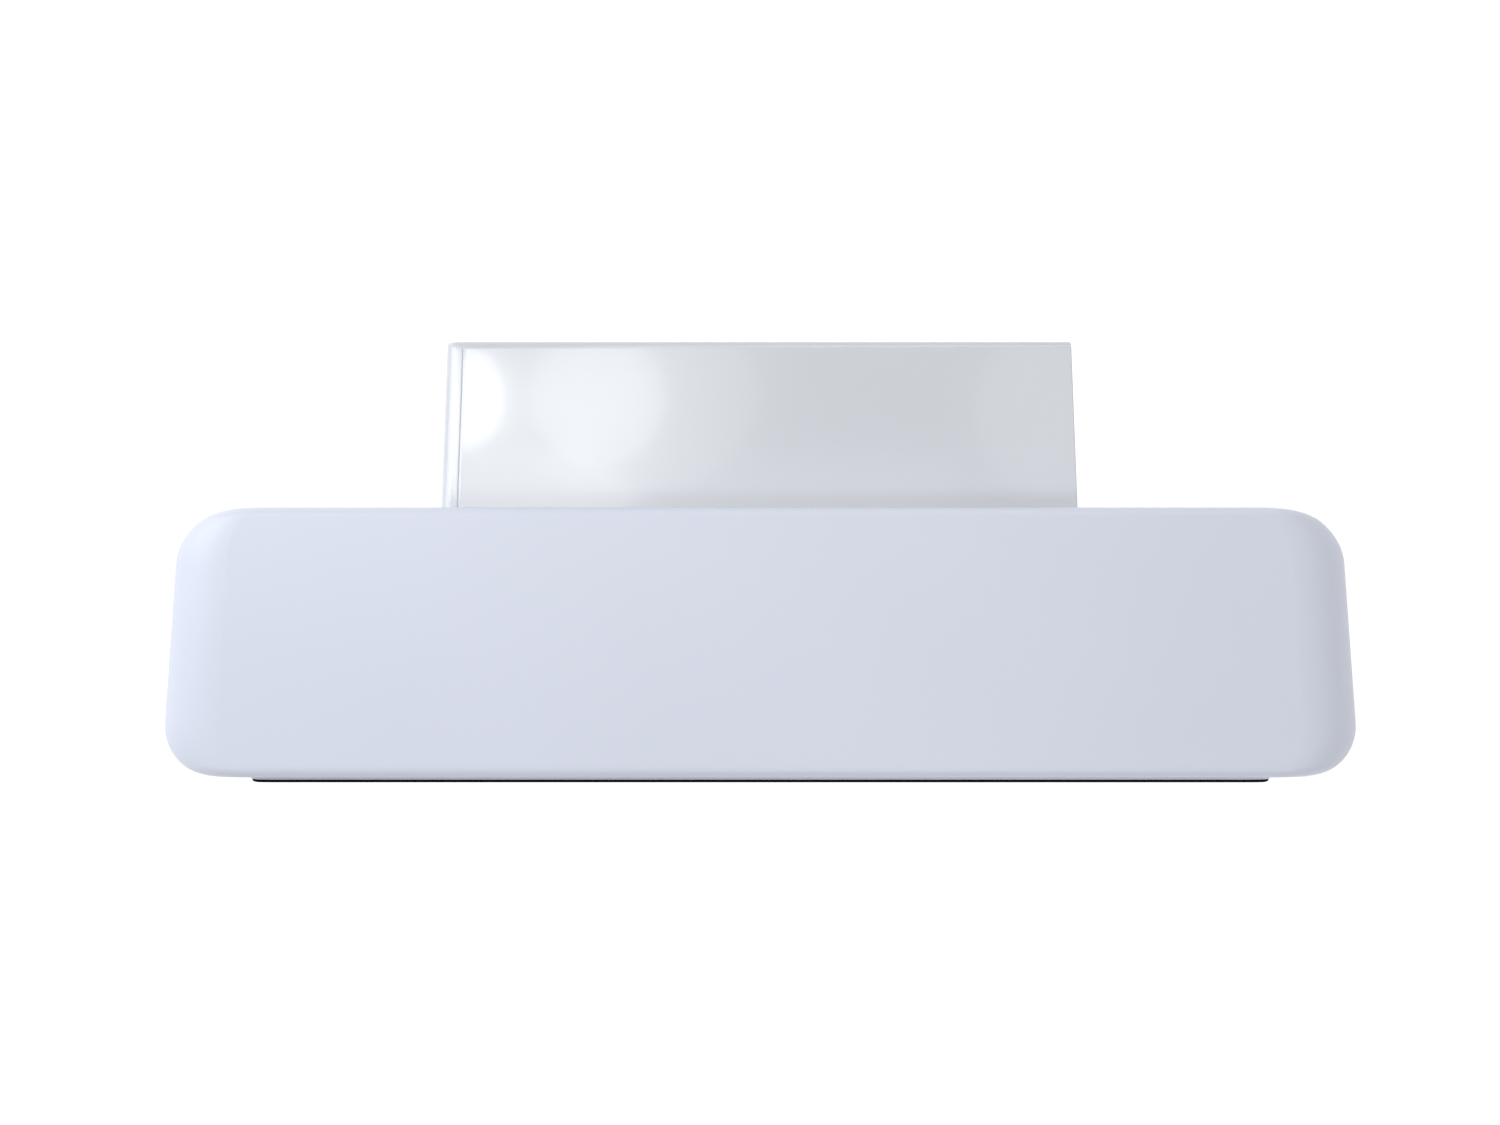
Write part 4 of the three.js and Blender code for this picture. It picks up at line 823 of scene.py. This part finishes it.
def bus_bars():
    """Fifteen links that put the cells in series: down, across, up and across again, column by column."""
    back = node_box(CELL_NODES[0])[0].y - 0.2 * MM
    bevel = 0.3 * MM

    def terminal(row, column, side):
        centre = node_centre(CELL_NODES[row * COLUMNS + column])
        return centre.x, centre.z + side * TERMINAL_OFFSET

    pairs = [(terminal(0, c, 1), terminal(1, c, -1)) for c in range(COLUMNS)]
    pairs += [(terminal(0, c, -1), terminal(0, c + 1, -1)) for c in range(0, COLUMNS, 2)]
    pairs += [(terminal(1, c, 1), terminal(1, c + 1, 1)) for c in range(1, COLUMNS - 1, 2)]
    forms = []
    for (x0, z0), (x1, z1) in pairs:
        low, high = grown((min(x0, x1), min(z0, z1)), (max(x0, x1), max(z0, z1)), BAR_HALF)
        outline = rounded_outline(low, high, 3 * MM)
        inner = rounded_outline(*grown(low, high, -bevel), 3 * MM - bevel)
        forms.append(lofted(layers([(inner, back - BAR_DEPTH), (outline, back - BAR_DEPTH + bevel), (outline, back)])))
    finish_mesh("bus_bars", gather(forms), "copper")


def small_outline(low, high, radius):
    """A light (x, z) outline with rounded corners, for pieces that are many or small."""
    steps = 3
    corners = [(high[0], low[1], 1, -1), (high[0], high[1], 1, 1), (low[0], high[1], -1, 1), (low[0], low[1], -1, -1)]
    points = []
    for turn, (x, z, side, level) in enumerate(corners):
        for i in range(steps + 1):
            angle = math.pi / 2 * (turn - 1 + i / steps)
            points.append(Vector((x + radius * (math.cos(angle) - side), z + radius * (math.sin(angle) - level))))
    return points


def soft_form(low, high, radius, rows):
    """A solid made of a box's rounded outline, drawn in by an inset at each (y, inset)."""
    loops = []
    for y, inset in rows:
        outline = grown((low.x, low.z), (high.x, high.z), -inset)
        loops.append(at_depth(small_outline(*outline, max(radius - inset, 0.1 * MM)), y))
    return lofted(loops)


def block_at(x, z, half_x, half_z, y_from, y_to, edge=0.4 * MM, radius=1.0 * MM):
    """A block with rounded upright corners and chamfered faces towards front and back."""
    low, high = Vector((x - half_x, y_from, z - half_z)), Vector((x + half_x, y_to, z + half_z))
    rows = [(low.y, edge), (low.y + edge, 0), (high.y - edge, 0), (high.y, edge)]
    return soft_form(low, high, radius, rows)


def battery_cell(node):
    """The film sleeve of one cell. Gives back the forms of its lid, terminals, relief vent and filling port."""
    low, high = node_box(node)
    centre = node_centre(node)
    x, z = centre.x, centre.z
    face = low.y + TERMINAL_HEIGHT
    crimps = [(0.7, 2.2), (0.5, 0.9), (0.8, 0.3), (1.6, 0.0), (3.2, 0.25), (3.6, 0.0)]
    rows = [(face + depth * MM, inset * MM) for depth, inset in crimps]
    rows += [(high.y - 1.4 * MM, 0.0), (high.y - 0.4 * MM, 0.5 * MM), (high.y, 1.6 * MM)]
    finish_mesh(node + "_sleeve", soft_form(low, high, CELL_RADIUS, rows), "cell_can", node)
    rim = 1.1 * MM
    half_x, half_z = (high.x - low.x) / 2 - rim, (high.z - low.z) / 2 - rim
    forms = [block_at(x, z, half_x, half_z, face, face + LID_DEPTH, 0.25 * MM, 2.4 * MM)]
    for side in (-1, 1):
        forms.append(block_at(x, z + side * TERMINAL_OFFSET, 10 * MM, 5 * MM, low.y, face, 0.5 * MM, 2 * MM))
    forms.append(block_at(x, z, 12 * MM, 7 * MM, face - 0.5 * MM, face, 0.2 * MM, 6.6 * MM))
    port = [(-0.6, 0.1), (-0.6, 2.2), (-0.3, 2.6), (0.0, 2.6), (0.0, 0.1)]
    forms.append(lathed(port, (x, face, z + 26 * MM), ALONG_Y, 16))
    return forms


def battery_cells():
    lids = [form for node in CELL_NODES for form in battery_cell(node)]
    finish_mesh("cell_lids", gather(lids), "aluminium")


def tie_rod(node):
    """A threaded rod with a hexagon nut at each end."""
    end, threads, pitch = node_box(node)[0].x / MM, 16, 1.2
    half = [(end, 0.1), (end, 6.2), (end + 0.7, 7.0, HEX), (end + 5.3, 7.0, HEX), (end + 6, 6.2)]
    half += [(end + 6.1 + pitch * i, 4.0 if i % 2 else 3.6) for i in range(threads)]
    profile = half + [(-along, *rest) for along, *rest in reversed(half)]
    finish_mesh(node + "_with_nuts", lathed(profile, node_centre(node), ALONG_X, 24), "steel", node)


# ---- Boards and inductor ----

BOARD_DEPTH = 1.6 * MM
CORE_RING = 24 * MM  # the middle line of the inductor's core


def board_sheet(node, face, radius):
    """A board's own sheet, from its face backwards, over the width and height of its CAD node."""
    low, high = node_box(node)
    centre, half = (low + high) / 2, (high - low) / 2
    form = block_at(centre.x, centre.z, half.x, half.z, face, face + BOARD_DEPTH, 0.15 * MM, radius)
    finish_mesh(node + "_sheet", form, "circuit_board", node)


def chip(x, z, half, face, away):
    """A square package with pins along two sides, on a board's face; away is 1 for the wall side, -1 for the front."""
    y_from, y_to = sorted((face, face + away * 2.4 * MM))
    forms = [block_at(x, z, half, half, y_from, y_to, 0.3 * MM, 0.6 * MM)]
    pins = 6
    foot = sorted((face, face + away * 0.9 * MM))
    for side in (-1, 1):
        for i in range(pins):
            pin_z = z + (i - (pins - 1) / 2) * 2 * half / pins
            forms.append(block_at(x + side * (half + 0.9 * MM), pin_z, 1 * MM, 0.4 * MM, *foot, 0.1 * MM, 0.2 * MM))
    return gather(forms)


def capacitor(x, z, face, end):
    """A sleeved can with a crimped neck and a dished, scored top."""
    height = (end - face) / MM
    profile = [(0.0, 0.1), (0.0, 11.3), (0.6, 12.0), (3.6, 12.0), (4.6, 11.2), (5.6, 12.0)]
    profile += [(height - 0.9, 12.0), (height - 0.1, 11.4), (height, 10.6), (height - 0.5, 9.8), (height - 0.5, 0.1)]
    return lathed(profile, (x, face, z), ALONG_Y, 36)


def connector(x, z, half_x, half_z, y_from, y_to):
    """A plug housing with a key along one side and a pair of latches."""
    key_z = z - half_z + 1.2 * MM
    forms = [block_at(x, z + 0.8 * MM, half_x, half_z - 0.8 * MM, y_from, y_to, 0.5 * MM, 0.8 * MM)]
    forms.append(block_at(x, key_z, half_x * 0.4, 1.2 * MM, y_from, y_to, 0.4 * MM, 0.4 * MM))
    for side in (-1, 1):
        latch_x = x + side * half_x * 0.75
        forms.append(block_at(latch_x, key_z, 1.5 * MM, 1.0 * MM, y_from + 1 * MM, y_to, 0.3 * MM, 0.4 * MM))
    return gather(forms)


def standoff(x, z, y_from, y_to):
    end = (y_to - y_from) / MM
    profile = [(0, 0.1), (0, 3.6), (0.4, 4.0, HEX), (end - 0.4, 4.0, HEX), (end, 3.6), (end, 0.1)]
    return lathed(profile, (x, y_from, z), ALONG_Y, 24)


def management_board():
    low, high = node_box("bms_board")
    face = low.y + 10 * MM
    back = face + BOARD_DEPTH
    board_sheet("bms_board", face, 4 * MM)
    sink_x, sink_z, count = node_centre("bms_board").x, 142.5 * MM, 15
    fins = [block_at(sink_x, sink_z, 85 * MM, 32.5 * MM, low.y + 7 * MM, face, 0.3 * MM, 1 * MM)]
    for i in range(count):
        x = sink_x + (i - (count - 1) / 2) * 11.8 * MM
        fins.append(block_at(x, sink_z, 1.1 * MM, 32.3 * MM, low.y, low.y + 7.4 * MM, 0.3 * MM, 0.5 * MM))
    finish_mesh("bms_heat_sink", gather(fins), "aluminium")
    plugs = [connector((-225 + 45 * i) * MM, 31 * MM, 14 * MM, 5 * MM, face - 9 * MM, face) for i in range(4)]
    finish_mesh("bms_plugs", gather(plugs), "grey_plastic")
    rows = ((60, 6), (86, 8))
    chips = [chip((-230 + 30 * i) * MM, z * MM, half * MM, face, -1) for z, half in rows for i in range(6)]
    finish_mesh("bms_chips", gather(chips), "black_plastic")
    xs = (low.x + 10 * MM, high.x - 10 * MM)
    legs = [standoff(x, z * MM, back, high.y) for x in xs for z in (30, 180)]
    finish_mesh("bms_standoffs", gather(legs), "brass")


def converter_board():
    low, high = node_box("power_board")
    back = low.y + BOARD_DEPTH
    board_sheet("power_board", low.y, 4 * MM)
    cans = [capacitor(x * MM, 152 * MM, back, high.y) for x in (-90, -45, 45, 90)]
    finish_mesh("power_board_capacitors", gather(cans), "black_plastic")
    module = (35 * MM, 16 * MM, 12 * MM, back, -84.3 * MM, 0.5 * MM, 1.5 * MM)
    modules = [block_at(x * MM, *module) for x in (-90, -10, 70)]
    modules += [chip(x * MM, -80 * MM, 7 * MM, back, 1) for x in (-110, -75, -40, 60, 95)]
    finish_mesh("power_board_modules", gather(modules), "black_plastic")


def lamp_board():
    low, high = node_box("display_board")
    face = low.y + 0.8 * MM
    z = node_centre("display_board").z
    board_sheet("display_board", face, 3 * MM)
    lamp = (z, 2.5 * MM, 1.5 * MM, low.y, face, 0.2 * MM, 0.5 * MM)
    finish_mesh("display_lamps", gather([block_at((i - 3.5) * 14 * MM, *lamp) for i in range(8)]), "light")
    plug = connector(60 * MM, z - 14 * MM, 10 * MM, 5 * MM, face + BOARD_DEPTH, high.y)
    finish_mesh("display_plug", plug, "grey_plastic")


def ring_tube(centre, path, radius, sides, closed):
    """A round tube along a path of (point, outward) pairs on a ring whose axis is y."""
    loops = []
    count = len(path)
    for i, (point, outward) in enumerate(path):
        ahead, behind = (i + 1) % count, i - 1
        if not closed:
            ahead, behind = min(i + 1, count - 1), max(i - 1, 0)
        along = (path[ahead][0] - path[behind][0]).normalized()
        across = along.cross(outward).normalized()
        up = across.cross(along)
        turns = [2 * math.pi * j / sides for j in range(sides)]
        loops.append([centre + point + (across * math.cos(turn) + up * math.sin(turn)) * radius for turn in turns])
    return lofted(loops, closed)


def ring_point(around, over, wire):
    """A point on the wire at an angle around the core and an angle over it, and its direction out of the core."""
    outward = Vector((math.cos(around), 0, math.sin(around)))
    lift = outward * math.cos(over) + Vector(ALONG_Y) * math.sin(over)
    return outward * CORE_RING + lift * wire, lift


def inductor():
    """A ring core wound with thick wire over most of its turn."""
    centre = node_centre("inductor")
    steps, turns, per_turn = 40, 26, 12
    level = Vector(ALONG_Y)
    core = [(ring_point(2 * math.pi * i / steps, 0, 0)[0], level) for i in range(steps)]
    form = ring_tube(centre, core, 8.6 * MM, 20, True)
    finish_mesh("inductor_core", form, "black_plastic", "inductor")
    span, start = math.radians(318), math.radians(111)
    winding = []
    for i in range(turns * per_turn + 1):
        share = i / (turns * per_turn)
        winding.append(ring_point(start + span * share, 2 * math.pi * turns * share, 10.1 * MM))
    finish_mesh("inductor_winding", ring_tube(centre, winding, 1.35 * MM, 8, False), "copper")


# ---- Carried-over CAD nodes ----

EDGE_BREAK = {  # mm
    "wall_bracket": 0.5, "hanger_plate": 0.5, "housing_back_plate": 0.4, "connection_plate": 0.4, "breaker_body": 0.8,
    "breaker_lever": 0.7, "breaker_flap": 0.5, "flap_hinge": 0.5, "fan_frame_lower": 0.6, "fan_frame_upper": 0.6,
    "heat_sink": 0.3, "main_fuse": 1.0, "contactor": 1.2, "lead_grommet": 0.6, "busbar_carrier": 0.4,
    "compression_plate_left": 0.6, "compression_plate_right": 0.6, "pack_lead_negative": 0.5,
    "pack_lead_positive": 0.5, "link_positive": 0.5,
}


def dress_cad_nodes():
    """Gives every CAD node its material, and breaks the edges of those that show their own mesh."""
    for name, node in frame["nodes"].items():
        node.data.materials.clear()
        node.data.materials.append(LOOKS[SLOT_OF[name]])
        if name in EDGE_BREAK:
            bevel = node.modifiers.new("edge_break", "BEVEL")
            bevel.width = EDGE_BREAK[name] * MM
            bevel.segments = 2
            bevel.limit_method = "ANGLE"
            bevel.angle_limit = math.radians(50)
            bevel.use_clamp_overlap = True


# ---- Camera, floor and light ----

TOP = CASE_HIGH.z
CAMERA_PLACE = (-5.5 * MM, CASE_LOW.y + 31.9 * MM, TOP + 584 * MM)
CAMERA_TILT = math.radians(7.7)
CAMERA_LENS, CAMERA_SENSOR = 27.05, 36
FLOOR_DROP = 1.0
FLOOR_HALF = 40.0
MIDDLE = (0, middle(CASE_LOW.y, HOUSING_HIGH.y))
LIGHTS = [  # name, place (z from the top), aim on the top, size, power, colour, shape
    ("key_left", (-1.2, 0.22, 0.3), MIDDLE, (0.6, 0.45), 3.0, (0.83, 0.90, 1.03), "RECTANGLE"),
    ("fold_glow", (-1.107, 0.32, 1.02), (-0.17, -0.05), (1.1, 0.26), 6.3, (0.95, 0.98, 1.0), "RECTANGLE"),
    ("overhead", (-0.15, 0.0, 1.3), (-0.15, -0.1), (1.0, 0.5), 1.0, (0.94, 0.97, 1.0), "RECTANGLE"),
    ("rear_top", (0.30, 0.44, 0.62), (0.15, -0.1), (1.1, 0.25), 1.25, (1.0, 1.0, 0.98), "RECTANGLE"),
    ("front_soft", (0.30, -0.75, 1.0), MIDDLE, (0.8, 0.4), 2.5, (0.96, 0.98, 1.0), "RECTANGLE"),
    ("window", (-0.56, 0.40, 1.5), (-0.16, -0.03), (0.15, 0.2), 0.9, (1.0, 1.0, 0.99), "ELLIPSE"),
    ("window_glow", (-0.30, 0.40, 1.5), (-0.09, -0.03), (0.26, 0.26), 0.65, (1.0, 1.0, 0.99), "ELLIPSE"),
    ("right_glow", (0.58, 0.38, 1.5), (0.16, -0.03), (0.3, 0.34), 0.3, (0.96, 0.98, 1.0), "ELLIPSE"),
    ("low_haze", (-0.42, 0.215, 1.5), (-0.12, -0.08), (0.40, 0.16), 0.43, (1.0, 0.98, 0.94), "ELLIPSE"),
    ("window_haze", (-0.26, 0.42, 1.52), (-0.08, -0.03), (0.55, 0.4), 0.85, (1.0, 1.0, 0.98), "ELLIPSE"),
]


def camera():
    data = bpy.data.cameras.new("camera")
    data.sensor_width = CAMERA_SENSOR
    data.lens = CAMERA_LENS
    data.clip_start = 0.01
    item = link(bpy.data.objects.new("camera", data))
    item.location = CAMERA_PLACE
    item.rotation_euler = (CAMERA_TILT, 0, 0)
    bpy.context.scene.camera = item


def area_light(name, place, aim, size, power, color, shape):
    data = bpy.data.lights.new(name, "AREA")
    data.shape = shape
    data.size, data.size_y = size
    data.energy = power
    data.color = color
    item = link(bpy.data.objects.new(name, data))
    item.location = (place[0], place[1], TOP + place[2])
    back = (item.location - Vector((*aim, TOP))).normalized()
    across = Vector(ALONG_Y).cross(back).normalized()
    item.rotation_euler = Matrix((across, back.cross(across), back)).transposed().to_euler()


def studio():
    z = CASE_LOW.z - FLOOR_DROP
    corners = [(x * FLOOR_HALF, y * FLOOR_HALF, z) for x, y in ((-1, -1), (1, -1), (1, 1), (-1, 1))]
    mesh = bpy.data.meshes.new("floor")
    mesh.from_pydata(corners, [], [(0, 1, 2, 3)])
    floor = link(bpy.data.objects.new("floor", mesh))
    pale = Shader("pale_floor", (0.9, 0.9, 0.9), 0.8, Emission_Color=(1, 1, 1, 1), Emission_Strength=0.75)
    mesh.materials.append(pale.material)
    for light in LIGHTS:
        area_light(*light)

    world = bpy.data.worlds.new("studio")
    world.use_nodes = True
    nodes, links = world.node_tree.nodes, world.node_tree.links
    soft = nodes["Background"]
    soft.inputs["Color"].default_value = (0.93, 0.95, 1.0, 1.0)
    soft.inputs["Strength"].default_value = 0.30
    plain = nodes.new("ShaderNodeBackground")
    plain.inputs["Color"].default_value = (1.0, 1.0, 1.0, 1.0)
    mix = nodes.new("ShaderNodeMixShader")
    links.new(nodes.new("ShaderNodeLightPath").outputs["Is Camera Ray"], mix.inputs["Fac"])
    links.new(soft.outputs["Background"], mix.inputs[1])
    links.new(plain.outputs["Background"], mix.inputs[2])
    links.new(mix.outputs["Shader"], nodes["World Output"].inputs["Surface"])
    bpy.context.scene.world = world
    view = bpy.context.scene.view_settings
    view.view_transform = "Standard"
    view.look = "None"


# ---- Assembly ----

camera()
studio()
dress_cad_nodes()
case_cover()
front_panel()
light_bar()
rear_cover()
housing_wrap()
panel_screws()
housing_screws()
for gland_node in ("cable_gland_battery", "cable_gland_mains", "cable_gland_data"):
    gland(gland_node)
vent_cap()
earth_point()
for screw_node in ("lock_screw_left", "lock_screw_right"):
    lock_screw(screw_node)
button_and_bezel()
fan_rotor("fan_rotor_lower", "fan_lower")
fan_rotor("fan_rotor_upper", "fan_upper")
bus_bars()
battery_cells()
for rod_node in ("tie_rod_lower", "tie_rod_middle", "tie_rod_upper"):
    tie_rod(rod_node)
management_board()
converter_board()
lamp_board()
inductor()

bpy.context.view_layer.update()
